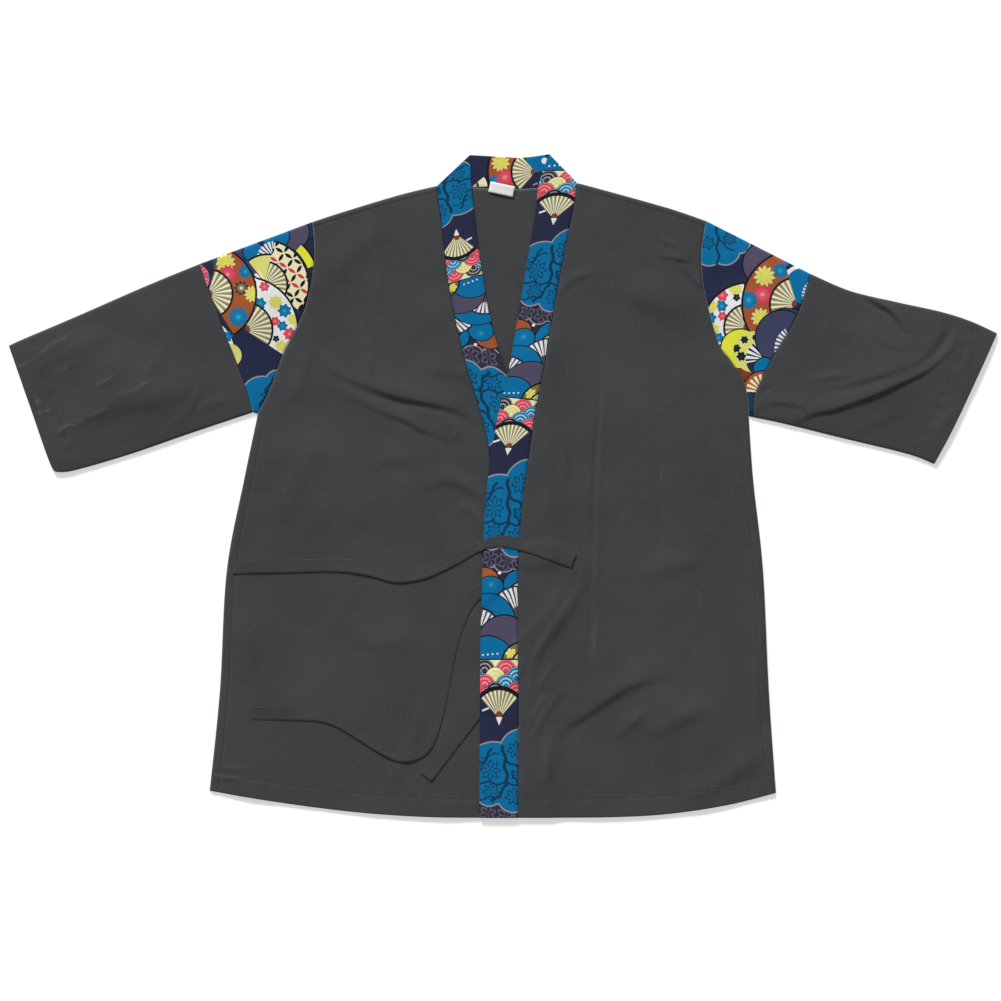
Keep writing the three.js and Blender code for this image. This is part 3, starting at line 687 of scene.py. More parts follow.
# The eye of a bloom, and the rings of a wave, of each colour
EYES = {PALE_YELLOW: YELLOW, TEAL: LIGHT_TEAL, CRIMSON: PINK, INK: PLUM}
RINGS = {CRIMSON: PINK, TEAL: SKY, CREAM: PALE_YELLOW, INK: MIST}


def new_material(name, inputs):
    material = bpy.data.materials.new(name)
    material.use_nodes = True
    for key, value in inputs.items():
        material.node_tree.nodes["Principled BSDF"].inputs[key].default_value = value
    return material


class Shading:
    """Shader nodes written as sums: every call adds its nodes and gives back their result."""

    def __init__(self, name, roughness, specular=0.25, sheen=0.0):
        inputs = {"Roughness": roughness, "Specular IOR Level": specular, "Sheen Weight": sheen}
        self.material = new_material(name, inputs)
        self.tree = self.material.node_tree
        self.surface = self.tree.nodes["Principled BSDF"].inputs
        self.map = self.node("ShaderNodeUVMap", {}, uv_map=CLOTH_MAP)[0]

    def feed(self, socket, value):
        if isinstance(value, bpy.types.NodeSocket):
            self.tree.links.new(value, socket)
        else:
            socket.default_value = value

    def node(self, kind, inputs, **settings):
        made = self.tree.nodes.new(kind)
        for key, value in settings.items():
            setattr(made, key, value)
        for socket, value in inputs.items():
            self.feed(made.inputs[socket], value)
        return made.outputs

    def calc(self, operation, *values):
        return self.node("ShaderNodeMath", dict(enumerate(values)), operation=operation)[0]

    def times(self, *values):
        """The product of some values, among which None counts as 1."""
        made, *others = (value for value in values if value is not None)
        for value in others:
            made = self.calc("MULTIPLY", made, value)
        return made

    def mix(self, share, first, second, blend="MIX"):
        inputs = {0: share, 6: first, 7: second}
        return self.node("ShaderNodeMix", inputs, data_type="RGBA", blend_type=blend)[2]

    def noise(self, scale, detail, where=None):
        where = self.map if where is None else where
        return self.node("ShaderNodeTexNoise", {"Vector": where, "Scale": scale, "Detail": detail})[0]

    def streaks(self, along, across):
        """Noise drawn out along the cloth's length, its grain given in millimetres."""
        grain = self.node("ShaderNodeMapping", {"Vector": self.map, "Scale": (1 / across, 1 / along, 1)})
        return self.noise(1.0, 3.0, grain[0])

    def ramp(self, value, low, high):
        inputs = {"Value": value, "From Min": low, "From Max": high}
        return self.node("ShaderNodeMapRange", inputs, interpolation_type="SMOOTHSTEP")[0]

    def split(self, vector):
        return self.node("ShaderNodeSeparateXYZ", {0: vector})[:2]

    def local(self, x, y, turn):
        """The map seen from a place on the cloth, turned by degrees."""
        inputs = {"Vector": self.map, "Location": (x, y, 0), "Rotation": (0, 0, math.radians(turn))}
        return self.node("ShaderNodeMapping", inputs, vector_type="TEXTURE")[0]

    def weave(self, pitch, turn, depth):
        """Bump of a weave and its slubs."""
        x, y = self.split(self.local(0, 0, turn))
        rib = self.calc("SINE", self.times(x, 2 * math.pi / pitch))
        thread = self.calc("SINE", self.times(y, 2 * math.pi / (0.7 * pitch)))
        height = self.calc("MULTIPLY_ADD", thread, 0.4, rib)
        height = self.calc("MULTIPLY_ADD", self.streaks(14.0, 1.6), 1.6, height)
        bump = self.node("ShaderNodeBump", {"Strength": depth, "Distance": 0.0002, "Height": height})
        self.feed(self.surface["Normal"], bump[0])

    def finish(self, colour):
        self.feed(self.surface["Base Color"], colour)
        return self.material


def charcoal_twill():
    paint = Shading("charcoal twill", 0.8, sheen=0.04)
    broad = paint.ramp(paint.noise(0.011, 4.0), 0.32, 0.68)
    colour = paint.mix(broad, srgb(52, 54, 56), srgb(57, 59, 61))
    threads = paint.ramp(paint.streaks(9.0, 1.1), 0.35, 0.75)
    colour = paint.mix(paint.times(threads, 0.5), colour, srgb(65, 66, 68))
    fibres = paint.ramp(paint.noise(0.11, 8.0), 0.7, 0.74)
    colour = paint.mix(paint.times(fibres, 0.12), colour, srgb(118, 118, 116))
    # painted highlights: pale grey streaks painted into the cloth along the marked fold crests and crease
    highlight_marks = paint.node("ShaderNodeAttribute", {}, attribute_name=HIGHLIGHT_ATTRIBUTE)["Fac"]
    highlight = paint.times(highlight_marks, paint.ramp(paint.streaks(11.0, 1.2), 0.4, 0.66))
    colour = paint.mix(highlight, colour, srgb(92, 92, 91))
    paint.weave(0.9, 63, 0.3)
    return paint.finish(colour)


def plain(name, colour, roughness, sheen=0.0):
    paint = Shading(name, roughness, sheen=sheen)
    darker = tuple(0.88 * share for share in colour[:3]) + (1.0,)
    return paint.finish(paint.mix(paint.ramp(paint.noise(0.5, 3.0), 0.3, 0.7), colour, darker))


class Print(Shading):
    """A printed cotton: motifs laid one over another, each by a formula of its place on the cloth."""

    LINE = 2.3  # width of the dark line round a fan
    RIBS = 9

    def __init__(self, name):
        super().__init__(name, 0.8, specular=0.12)
        self.colour = NAVY

    def lay(self, colour, *masks):
        self.colour = self.mix(self.times(*masks), self.colour, colour)

    def polar(self, x, y, turn=0.0):
        """The distance from a place and the angle about it."""
        local = self.local(x, y, turn)
        across, along = self.split(local)
        length = self.node("ShaderNodeVectorMath", {0: local}, operation="LENGTH")
        return length["Value"], self.calc("ARCTAN2", along, across)

    def near(self, value, target, reach):
        return self.calc("COMPARE", value, target, reach)

    def below(self, value, limit):
        return self.calc("LESS_THAN", value, limit)

    def within(self, x, y, radius):
        return self.below(self.polar(x, y)[0], radius)

    def sector(self, angle, half):
        return self.below(self.calc("ABSOLUTE", angle), half)

    def stripes(self, value, period, share):
        """1 on a share of every period."""
        return self.below(self.calc("PINGPONG", value, period / 2), share * period / 2)

    def disc(self, x, y, radius, colour, clip=None):
        self.lay(colour, self.within(x, y, radius), clip)

    def flower(self, x, y, radius, petals, colour, eye=None, clip=None):
        """A filled bloom, paler towards its eye, with its petals parted by fine lines."""
        eye = eye or EYES[colour]
        distance, angle = self.polar(x, y, 11 * petals)
        lobes = self.calc("COSINE", self.times(angle, petals))
        edge = self.calc("MULTIPLY_ADD", lobes, 0.13 * radius, 0.87 * radius)
        bloom = self.times(self.below(distance, edge), clip)
        self.lay(colour, bloom)
        glow = self.calc("MULTIPLY_ADD", distance, -0.6 / radius, 0.5)
        self.lay(eye, bloom, self.calc("MAXIMUM", glow, 0.0))
        self.lay(INK, bloom, self.near(lobes, -1.0, 0.1), 0.45)
        self.lay(eye, bloom, self.below(distance, 0.2 * radius))

    def drawn_stem(self, first, second, width, colour, clip):
        """A slightly waved stroke from one place to another."""
        turn = math.degrees(math.atan2(second[1] - first[1], second[0] - first[0]))
        length = math.dist(first, second)
        along, across = self.split(self.local(*first, turn))
        wave = self.times(self.calc("SINE", self.times(along, 0.33)), 1.3)
        stroke = self.near(self.calc("SUBTRACT", across, wave), 0.0, width / 2)
        self.lay(colour, stroke, self.near(along, length / 2, length / 2), clip)

    def drawn_flower(self, x, y, radius, petals, colour, clip):
        """A bloom in thick line on the ground."""
        distance, angle = self.polar(x, y, 17 * petals)
        lobes = self.calc("COSINE", self.times(angle, petals))
        edge = self.calc("MULTIPLY_ADD", lobes, 0.2 * radius, 0.8 * radius)
        rim = self.near(self.calc("SUBTRACT", distance, edge), 0.0, 0.95)
        parting = self.times(self.near(lobes, -1.0, 0.3), self.below(distance, 0.62 * radius))
        self.lay(colour, self.calc("MAXIMUM", rim, parting), clip)

    def drawing(self, colour, stems, flowers, clip=None):
        """Stems of (from, to, width) with flowers of (x, y, radius, petals) over them, all in line."""
        for stem in stems:
            self.drawn_stem(*stem, colour, clip)
        for flower in flowers:
            self.drawn_flower(*flower, colour, clip)

    def fan(self, x, y, turn, spread, inner, outer=0.0, leaf=None):
        """A folding fan: ribbed sticks from its pivot out to inner, then its leaf out to outer."""
        distance, angle = self.polar(x, y, turn)
        half = math.radians(spread)
        sector = self.sector(angle, half)
        if leaf:
            self.lay(INK, sector, self.below(distance, outer + self.LINE))
            leaf(self, self.times(sector, self.below(distance, outer)), x, y, turn)
        self.lay(INK, sector, self.below(distance, inner + self.LINE))
        sticks = self.times(sector, self.below(distance, inner))
        self.lay(STICKS, sticks)
        rib = 2 * half / self.RIBS
        self.lay(BONE, sticks, self.stripes(angle, rib, 0.42))
        self.lay(OLIVE, sticks, self.stripes(self.calc("ADD", angle, 0.62 * rib), rib, 0.14))
        self.lay(RUST, sector, self.below(distance, 0.2 * inner))

    def rays(self, x, y, turn, spread, inner, outer, count, colour=WHITE):
        """Rays in a sector between two radii."""
        distance, angle = self.polar(x, y, turn)
        half = math.radians(spread)
        middle = (inner + outer) / 2
        ring = self.near(distance, middle, outer - middle)
        self.lay(colour, self.sector(angle, half), ring, self.stripes(angle, 2 * half / count, 0.58))

    def hills(self, *rows):
        """Round hills, each with a dark line round it: x, y, radius, colour."""
        for x, y, radius, colour in rows:
            self.disc(x, y, radius + 0.6 * self.LINE, INK)
            self.disc(x, y, radius, colour)

    def cloud(self, bumps, colour):
        """A scalloped cloud of discs with a pale line round it."""
        for line, shade in ((1.5, MIST), (0.0, colour)):
            for x, y, radius in bumps:
                self.disc(x, y, radius + line, shade)

    def wave_row(self, across, along, y, radius, shift, colours, clip):
        """A row of scales of a wave pattern: rings about feet that stand at y, in two colours by turns."""
        place = self.calc("ADD", across, shift)
        side = self.calc("WRAP", place, radius, -radius)
        rise = self.calc("SUBTRACT", along, y)
        distance = self.calc("SQRT", self.calc("MULTIPLY_ADD", rise, rise, self.times(side, side)))
        scale = self.times(self.below(distance, radius), clip)
        self.lay(INK, scale, 0.8)
        inside = self.times(scale, self.below(distance, radius - 0.8))
        rings = self.times(inside, self.stripes(self.calc("ADD", distance, 0.5), radius / 3, 0.5))
        others = self.stripes(place, 4 * radius, 0.5)
        for colour, share in zip(colours, (1.0, others)):
            self.lay(colour, inside, share)
            self.lay(RINGS[colour], rings, share)

    def cotton(self):
        """Ends the print: the threads of the cotton show a little through the ink."""
        self.weave(0.5, 0, 0.15)
        shade = self.ramp(self.streaks(3.0, 0.9), 0.2, 0.8)
        dark = self.mix(1.0, self.colour, (0.86, 0.86, 0.87, 1), "MULTIPLY")
        return self.finish(self.mix(shade, self.colour, dark))


def flower_leaf(ground, blooms):
    """A fan's leaf with flowers, each with its distance, angle, size, petals, colour and maybe eye."""

    def leaf(paint, clip, x, y, turn):
        paint.lay(ground, clip)
        for reach, degrees, *bloom in blooms:
            angle = math.radians(turn + degrees)
            paint.flower(x + reach * math.cos(angle), y + reach * math.sin(angle), *bloom, clip=clip)

    return leaf


def ring_leaf(paint, clip, x, y, turn):
    """A leaf of interlocking rings: long petals that meet in fours on a square grid."""
    paint.lay(CREAM, clip)
    pitch, half_width = 12.0, 1.9
    bend = -4 * half_width / (0.86 * pitch) ** 2
    across, along = paint.split(paint.local(x, y, turn + 38))
    for run, side, colour, shift in ((across, along, INK, 0.0), (along, across, CRIMSON, pitch / 2)):
        middle, line = (
            paint.calc("WRAP", paint.calc("ADD", value, shift), pitch / 2, -pitch / 2)
            for value in (run, side)
        )
        reach = paint.calc("MULTIPLY_ADD", paint.times(middle, middle), bend, half_width)
        petal = paint.times(paint.sector(line, reach), clip)
        paint.lay(colour, petal)
        if colour == CRIMSON:
            paint.lay(INK, petal, paint.stripes(side, 4 * pitch, 0.5))


def plain_leaf(colour):
    return lambda paint, clip, x, y, turn: paint.lay(colour, clip)


def band_print():
    """The band's print, one tile repeated along it: x across the band, y along it from the tip of a fan."""
    paint = Print("band print")
    x, y = paint.split(paint.map)
    paint.map = paint.node("ShaderNodeCombineXYZ", {0: x, 1: paint.calc("WRAP", y, TILE, 0.0)})[0]
    across, along = paint.split(paint.map)

    # a dark cloud of drawn flowers
    paint.cloud([(6, 96, 11), (26, 100, 12), (43, 98, 11)], DARK_PLUM)
    paint.lay(DARK_PLUM, paint.near(along, 90, 12))
    flowers = [(9, 98, 9, 6), (29, 101, 10, 6), (43, 97, 8, 6)]
    paint.drawing(PALE_PLUM, [], flowers, paint.near(along, 98, 13))

    # a cloud with drawn flowers and stems, scalloped at both ends
    paint.cloud([(16, 53, 34), (46, 28, 23), (11, 74, 15), (38, 78, 18)], TEAL)
    stems = [
        ((26, 22), (31, 66), 4.0), ((31, 66), (14, 86), 3.2), ((14, 26), (3, 42), 2.8),
        ((29, 38), (47, 50), 2.8), ((-4, 63), (50, 66), 2.2), ((2, 36), (22, 31), 1.8),
        ((-2, 82), (24, 79), 1.8), ((36, 50), (42, 66), 1.8),
    ]
    flowers = [
        (12, 50, 11, 8), (40, 27, 9, 7), (13, 74, 9, 8), (38, 79, 9, 7), (43, 56, 7, 6), (-2, 44, 6, 6),
    ]
    paint.drawing(DEEP_TEAL, stems, flowers, paint.near(along, 52, 36))

    # hills with rays, a flower and a small fan between them
    paint.disc(20.5, 114, 2.0, WHITE)
    paint.hills((2, 124, 17, BROWN), (46, 130, 20, TEAL))
    paint.fan(52, 146, -140, 40, 9, 20, plain_leaf(PALE_YELLOW))
    paint.hills((10, 134, 15, TEAL))
    paint.flower(11, 130, 8, 12, TEAL)
    paint.hills((44, 166, 33, PLUM))
    paint.rays(44, 166, -121, 46, 11, 32, 8)
    paint.hills((8, 176, 33, TEAL), (-4, 186, 29, PLUM))
    paint.rays(-4, 186, -62, 30, 13, 28, 5)
    paint.hills((27, 197, 33, PLUM), (8, 212, 28, TEAL))
    paint.fan(50, 216, -146, 48, 12, 24, flower_leaf(OLIVE, [(18, 0, 7, 6, PALE_YELLOW)]))
    for dot in range(4):
        paint.disc(3 + 5.5 * dot, 208.0 - 0.6 * dot, 1.1, WHITE)

    # waves
    paint.lay(INK, paint.near(along, 233.5, 21))
    strip = paint.near(along, 233.5, 19.5)
    paint.lay(CREAM, strip)
    rows = [(CRIMSON, INK), (TEAL, CREAM), (TEAL, CRIMSON), (CRIMSON, INK), (CREAM, CRIMSON)]
    for row, colours in enumerate(rows):
        paint.wave_row(across, along, 225 + 7.5 * row, 12.0, -5.0 - 12.0 * (row % 2), colours, strip)

    # the big fan, its tip white
    middle = BAND_WIDTH / 2
    pivot = (middle, 273)
    paint.disc(*pivot, 33, INK, paint.near(along, 256, 20))
    angle = paint.calc("ABSOLUTE", paint.polar(*pivot, -90)[1])
    sides = paint.calc("GREATER_THAN", angle, math.radians(45))
    paint.lay(NAVY, paint.near(along, 266, 20), sides)
    paint.fan(*pivot, -90, 45, 28.5)
    paint.disc(middle, 269, 3.4, RUST)
    distance, angle = paint.polar(middle, 280, -90)
    paint.lay(WHITE, paint.sector(angle, 0.42), paint.below(distance, 8.5))
    dash_along, dash_across = paint.split(paint.local(3, 265, -20))
    paint.lay(WHITE, paint.near(dash_along, 3.5, 4), paint.near(dash_across, 0.0, 1.0))
    return paint.cotton()


def neck_print():
    """The print inside the neck, in plan millimetres: a fan on its side with flowers on its leaf."""
    paint = Print("neck print")
    paint.hills((37, 363, 12, TEAL))
    paint.disc(46, 364, 3.5, WHITE)
    paint.fan(-35.6, 335, 20, 19, 6, 17.5, plain_leaf(CREAM))
    paint.fan(35.6, 351.5, 180, 50, 25.5, 52, flower_leaf(BROWN, [
        (47, 14, 8.5, 12, TEAL), (40.4, -15, 10.5, 11, PALE_YELLOW), (34.5, 10, 10.5, 12, CRIMSON),
        (46, -38, 8, 11, PALE_YELLOW),
    ]))
    paint.drawing(MIST, [((33, 336.5), (38.5, 337.5), 1.8)], [])
    return paint.cotton()


def sleeve_print_right():
    """The right sleeve top's print, in plan millimetres."""
    paint = Print("sleeve print right")
    paint.hills(
        (-218, 292, 15, DEEP_TEAL), (-238, 284, 20, PLUM), (-255, 280, 15, TEAL), (-300, 250, 26, SLATE),
        (-280, 262, 11, TEAL),
    )
    paint.rays(-256, 254, 138, 42, 6, 20, 6)
    paint.fan(-268, 225, 34, 13, 50, 61, plain_leaf(YELLOW))
    paint.fan(-264, 224, 104, 24, 3, 34, plain_leaf(PALE_YELLOW))
    paint.rays(-262, 222, 150, 28, 6, 22, 4)
    paint.fan(-268, 225, 20, 56, 25, 49, ring_leaf)
    paint.fan(-289, 174.6, 22, 55, 29.5, 58, flower_leaf(WHITE, [
        (46, 20, 8.5, 8, PALE_YELLOW), (34, 38, 7, 6, TEAL), (49, 4, 8, 7, TEAL), (35, -6, 5.5, 6, CRIMSON),
        (42, -16, 6, 6, TEAL), (50, -27, 7.5, 7, CRIMSON), (55, -10, 7, 7, PALE_YELLOW),
        (36, -38, 4, 5, INK), (44, -46, 7, 7, PALE_YELLOW), (53, 44, 6, 6, CRIMSON), (43, 58, 4, 5, INK),
    ]))
    paint.fan(-330.6, 214.7, 9, 66, 26.5, 53, flower_leaf(BROWN, [
        (40, 52, 11.5, 11, PALE_YELLOW), (31, 36, 11, 12, CRIMSON), (49, 22, 8.5, 12, TEAL),
        (38, 1, 8, 9, INK, CREAM), (50, -9, 9.5, 11, PALE_YELLOW), (43, -46, 12, 14, TEAL),
    ]))
    paint.disc(-345, 147, 46, INK, paint.below(paint.split(paint.local(-302, 160, 24))[0], 6.0))
    paint.disc(-345, 147, 44.5, WHITE)
    paint.flower(-309, 167, 6.5, 6, TEAL)
    paint.disc(-306, 146, 13, PALE_YELLOW)
    across, along = paint.split(paint.map)
    corner = paint.within(-346, 232, 17)
    for row, colours in enumerate([(CRIMSON, CREAM), (CREAM, CRIMSON), (CRIMSON, TEAL), (CREAM, CRIMSON)]):
        paint.wave_row(across, along, 244 - 6 * row, 9.0, 9.0 * (row % 2), colours, corner)
    paint.cloud([(-270, 99, 23), (-253, 116, 13), (-290, 92, 17)], TEAL)
    paint.drawing(DEEP_TEAL, [((-258, 122), (-272, 88), 3.0)], [(-263, 101, 8, 7)])
    return paint.cotton()


def sleeve_print_left():
    """The left sleeve top's print, in plan millimetres."""
    paint = Print("sleeve print left")
    paint.cloud([(240, 284, 25), (230, 262, 15), (248, 264, 16), (265, 271, 10)], TEAL)
    stems = [((239, 300), (240, 246), 2.8), ((239, 276), (258, 262), 1.8)]
    paint.drawing(DEEP_TEAL, stems, [(229, 272, 7, 6), (253, 277, 7, 7)])
    paint.hills((292, 248, 24, PLUM), (310, 254, 11, TEAL))
    paint.rays(310, 246, 122, 36, 6, 15, 4)
    paint.disc(332, 226, 21, WHITE)
    paint.disc(335, 224, 20, TEAL)
    paint.rays(352, 214, 158, 44, 10, 18, 7)
    paint.fan(273, 177, 153, 58, 25, 49, flower_leaf(WHITE, [
        (45, -46, 8, 7, PALE_YELLOW), (46, -25, 7, 6, CRIMSON), (38, -13, 7, 6, TEAL),
        (47, -4, 8, 7, PALE_YELLOW), (31, 2, 5.5, 6, CRIMSON), (43, 12, 7, 6, TEAL), (36, -43, 4.5, 5, INK),
        (38, 30, 7, 7, PALE_YELLOW), (34, 46, 6, 6, TEAL),
    ]))
    paint.fan(328, 203, 162, 56, 29, 60, flower_leaf(BROWN, [
        (42, -46, 9.5, 13, TEAL), (48, -23, 12, 11, PALE_YELLOW), (40, 2, 11.5, 12, CRIMSON),
        (54, 13, 11, 13, TEAL), (43, 38, 11, 11, PALE_YELLOW),
    ]))
    paint.hills((317, 163, 35, SLATE))
    paint.rays(331, 153, 156, 30, 21, 28, 6)
    paint.hills((290, 132, 14, TEAL), (268, 130, 14, RUST), (265, 153.4, 21.5, YELLOW))
    clip = paint.within(280, 150, 23)
    paint.lay(PALE_YELLOW, clip)
    for bloom in ((269.5, 163.5, 4.6), (260.5, 154, 5.0), (266, 145, 5.6), (281, 166, 3.4)):
        paint.flower(*bloom, 6, INK, DEEP_TEAL, clip)
    paint.disc(293, 142, 22, NAVY, clip)
    paint.rays(293, 142, 140, 52, 3, 22, 6)
    paint.hills((312, 166, 30, SLATE))
    paint.rays(331, 153, 156, 30, 21, 28, 6)
    paint.hills((292, 131, 12, TEAL), (290, 106, 22, BROWN))
    paint.rays(291, 105, 138, 54, 5, 20, 6, CREAM)
    paint.hills((276, 94, 10, DEEP_TEAL))
    return paint.cotton()


# Each cloth: its material and its slot
BODY_SLOT, PRINT_SLOT, LABEL_SLOT = "body_cloth", "print_cloth", "label_tape"
TWILL = (charcoal_twill(), BODY_SLOT)
BAND_CLOTH = (band_print(), PRINT_SLOT)
NECK_CLOTH = (neck_print(), PRINT_SLOT)
SLEEVE_CLOTHS = {"right": (sleeve_print_right(), PRINT_SLOT), "left": (sleeve_print_left(), PRINT_SLOT)}
LABEL_CLOTH = (plain("label satin", srgb(232, 232, 230), 0.5, 0.3), LABEL_SLOT)
THREAD = (plain("thread", srgb(41, 42, 44), 0.75), BODY_SLOT)


# Back, fronts and their bands
def band_edge(half, column, tip=()):
    return Curve([(row[column], row[0]) for row in half["rows"]] + [*tip])


def hem_half(start, side):
    """The hem from the band's seam out to one side."""
    height = float(np.interp(start, [x for x, _ in HEM], [y for _, y in HEM]))
    beyond = [point for point in HEM if (point[0] - start) * side > 30]
    return Curve([(start, height), *beyond[::side]])


def front_panel(side, half):
    """A front: its rows go from the hem up, its columns from the band out to the side seam and armhole."""
    sewn = band_edge(half, 2).moved(side * SEAM_GAP)
    side_edge = Curve(half["edge"])
    outer = joined(side_edge, Curve(half["armhole"]))
    shoulder = Curve([sewn.at(1.0), *half["shoulder"][-2::-1]])
    hem = hem_half(sewn.at(0.0)[0], side)
    columns = stations(hem.length, *GRIDS["front columns"])
    rows = stations(outer.length, *GRIDS["front rows"], *half["fine_rows"])
    plan = patch(hem, shoulder, sewn, outer, columns, rows)
    across, along = grid_lengths(plan)
    from_side = across[:, -1:] - across
    from_shoulder = along[-1:] - along
    height = half["front_height"](plan) + hem_relief(along, across, HEM_DEPTH["body"])
    height += groove("band seam", across)
    on_side = (rows * outer.length < side_edge.length)[:, None]
    towards_armhole = smoothstep(-along, -side_edge.length, 30 - side_edge.length)
    side_seam = groove("side seam", from_side - SEAM_LINES["side"]) * towards_armhole
    height += np.where(on_side, side_seam, 0)
    height += groove("shoulder seam", from_shoulder - SEAM_LINES["shoulder"])
    rounded = rounded_edge(height, from_side, SIDE_RADIUS, SIDE_FOOT)
    height = np.where(on_side, rounded, height + groove("armhole", from_side))
    height = rounded_edge(height, from_shoulder, SIDE_RADIUS, SIDE_FOOT)
    made = shell(half["front"] + "_cloth", plan, height, np.dstack([across, along]), TWILL)
    paint_highlight(made, painted_highlight(half["front"], plan))
    return made, plan


def print_place(side, y, columns):
    """Where each place of a band lies on its print, across it and along it."""
    heights, tiles, shifts, leans = np.array(sorted(PRINT_PLACES[side])).T
    off_middle = side * (columns - 0.5) * BAND_WIDTH
    level = y - np.interp(y, heights, leans) * off_middle
    across = columns * BAND_WIDTH + np.interp(y, heights, shifts)
    return np.dstack([across, np.interp(level, heights, tiles) * TILE])


def band_panel(side, half):
    """A stretch of the band: its rows go up it, its columns from the free edge to the sewn one."""
    free, sewn = band_edge(half, 1, [half["tip"]]), band_edge(half, 2)
    rows = stations(sewn.length, *GRIDS["band rows"])
    columns = stations(BAND_WIDTH, *GRIDS["band columns"])
    plan = between(free.at(rows)[:, None], sewn.at(rows)[:, None], columns[None, :, None])
    across, along = grid_lengths(plan)
    from_sewn = across[:, -1:] - across
    height = half["band_height"](plan) + BAND_CROWN * (1 - np.abs(2 * columns - 1)[None] ** 3)
    height += BAND_WAVE * np.sin(along / 11 + 2 * np.sin(along / 47)) * columns[None]
    height += groove("free edge stitches", across - BAND_STITCHES["free"]) + groove("band seam", from_sewn)
    height += groove("sewn edge stitches", from_sewn - BAND_STITCHES["sewn"])
    if side < 0:
        height = rounded_edge(height, across, BAND_EDGE_RADIUS, height.min() - BAND_EDGE_DROP)
    uv = print_place(side, plan[..., 1], columns)
    return shell(half["band"] + "_cloth", plan, height, uv, BAND_CLOTH, BAND_SHELL), plan


def back_panel():
    """The back: its lower surface lies on the table, its upper one shows at the neck."""
    right = joined(Curve(SIDE_RIGHT), Curve(ARMHOLE_RIGHT))
    left = joined(Curve(SIDE_LEFT), Curve(ARMHOLE_LEFT))
    hem = Curve(HEM)
    top = joined(Curve(SHOULDER_RIGHT), Curve(BACK_NECK), Curve(SHOULDER_LEFT).reversed())
    columns = stations(hem.length, *GRIDS["back columns"])
    plan = patch(hem, top, right, left, columns, stations(right.length, *GRIDS["back rows"]))
    x, y = plan[..., 0], plan[..., 1]
    shown = np.exp(-(((x - 2) / 60) ** 2)) * smoothstep(y, 60, 200)
    height = SHELL + BACK_WAVE * shown * (1.5 + np.sin(y / 19 + x / 23))
    for tall, width, run in FOLDS_BELOW:
        height = np.maximum(height, SHELL + fold(plan, tall, width, width, run))
    return shell("back_cloth", plan, height, np.dstack(grid_lengths(plan)), TWILL), plan


def collar_back_panel():
    """The band behind the neck: its rows go up from the back's neck, its print lies as in the plan."""
    neck = Curve(BACK_NECK).moved(0, SEAM_GAP)
    columns = stations(neck.length, *GRIDS["collar columns"])
    rows = stations(COLLAR_HEIGHT, *GRIDS["collar rows"])
    plan = between(neck.at(columns)[None], Curve(COLLAR_TOP).at(columns)[None], rows[:, None, None])
    across, along = grid_lengths(plan)
    height = BAND + COLLAR_CROWN * np.sin(np.pi * rows)[:, None] + COLLAR_WAVE * (1 + np.sin(across / 9))
    height += groove("neck seam", along) + groove("sewn edge stitches", along - BAND_STITCHES["sewn"])
    height = rounded_edge(height, along[-1:] - along, COLLAR_RADIUS, COLLAR_SHELL + 0.2)
    return shell("collar_back_cloth", plan, height, plan, NECK_CLOTH, COLLAR_SHELL), plan


# Sleeves
def flat_tube(name, plan, crown, folds, seams, uv, under_shift, cloth):
    """A flattened tube of cloth over a plan grid, whose columns run from the upper folded edge down."""
    rows, columns = plan.shape[:2]
    across = grid_lengths(plan)[0]
    width = across[:, -1:]
    ease = np.sin(np.pi * np.clip(across / width, 0, 1)) ** 0.35
    upper = UPPER_WALL + CLOTH + (SLEEVE_CROWN * crown[:, None] + relief(folds, plan)) * ease + seams
    from_edge = np.minimum(across, width - across)
    upper = rounded_edge(upper, from_edge, SLEEVE_RADIUS_ABOVE, SLEEVE_EDGE)
    level = np.full(plan.shape[:2], SLEEVE_EDGE)
    lower = level - rounded_edge(level, from_edge, SLEEVE_RADIUS_BELOW, 0.0)
    order = np.arange(columns - 2, 0, -1)
    ring = np.concatenate([with_height(plan, upper), with_height(plan, lower)[:, order]], axis=1)
    count = ring.shape[1]
    index = np.arange(rows * count).reshape(rows, count)
    closed = np.hstack([index, index[:, :1]])
    uv = np.concatenate([uv, uv[:, order] + under_shift], axis=1)
    inner = ring - SHELL * ring_normals(ring)
    made = two_walls(name, ring, inner, closed, [closed[0], closed[-1][::-1]], uv, cloth)
    # the painted highlights are marked on the upper wall only
    shares = np.zeros((rows, count))
    shares[:, :columns] = painted_highlight(folds, plan)
    paint_highlight(made, shares)
    return made, plan


def ring_normals(ring):
    around = np.roll(ring, -1, axis=1) - np.roll(ring, 1, axis=1)
    normal = np.cross(around, np.gradient(ring, axis=0))
    normal /= np.linalg.norm(normal, axis=2)[..., None] + 1e-9
    return -normal if normal[len(ring) // 2, ring.shape[1] // 4, 2] < 0 else normal


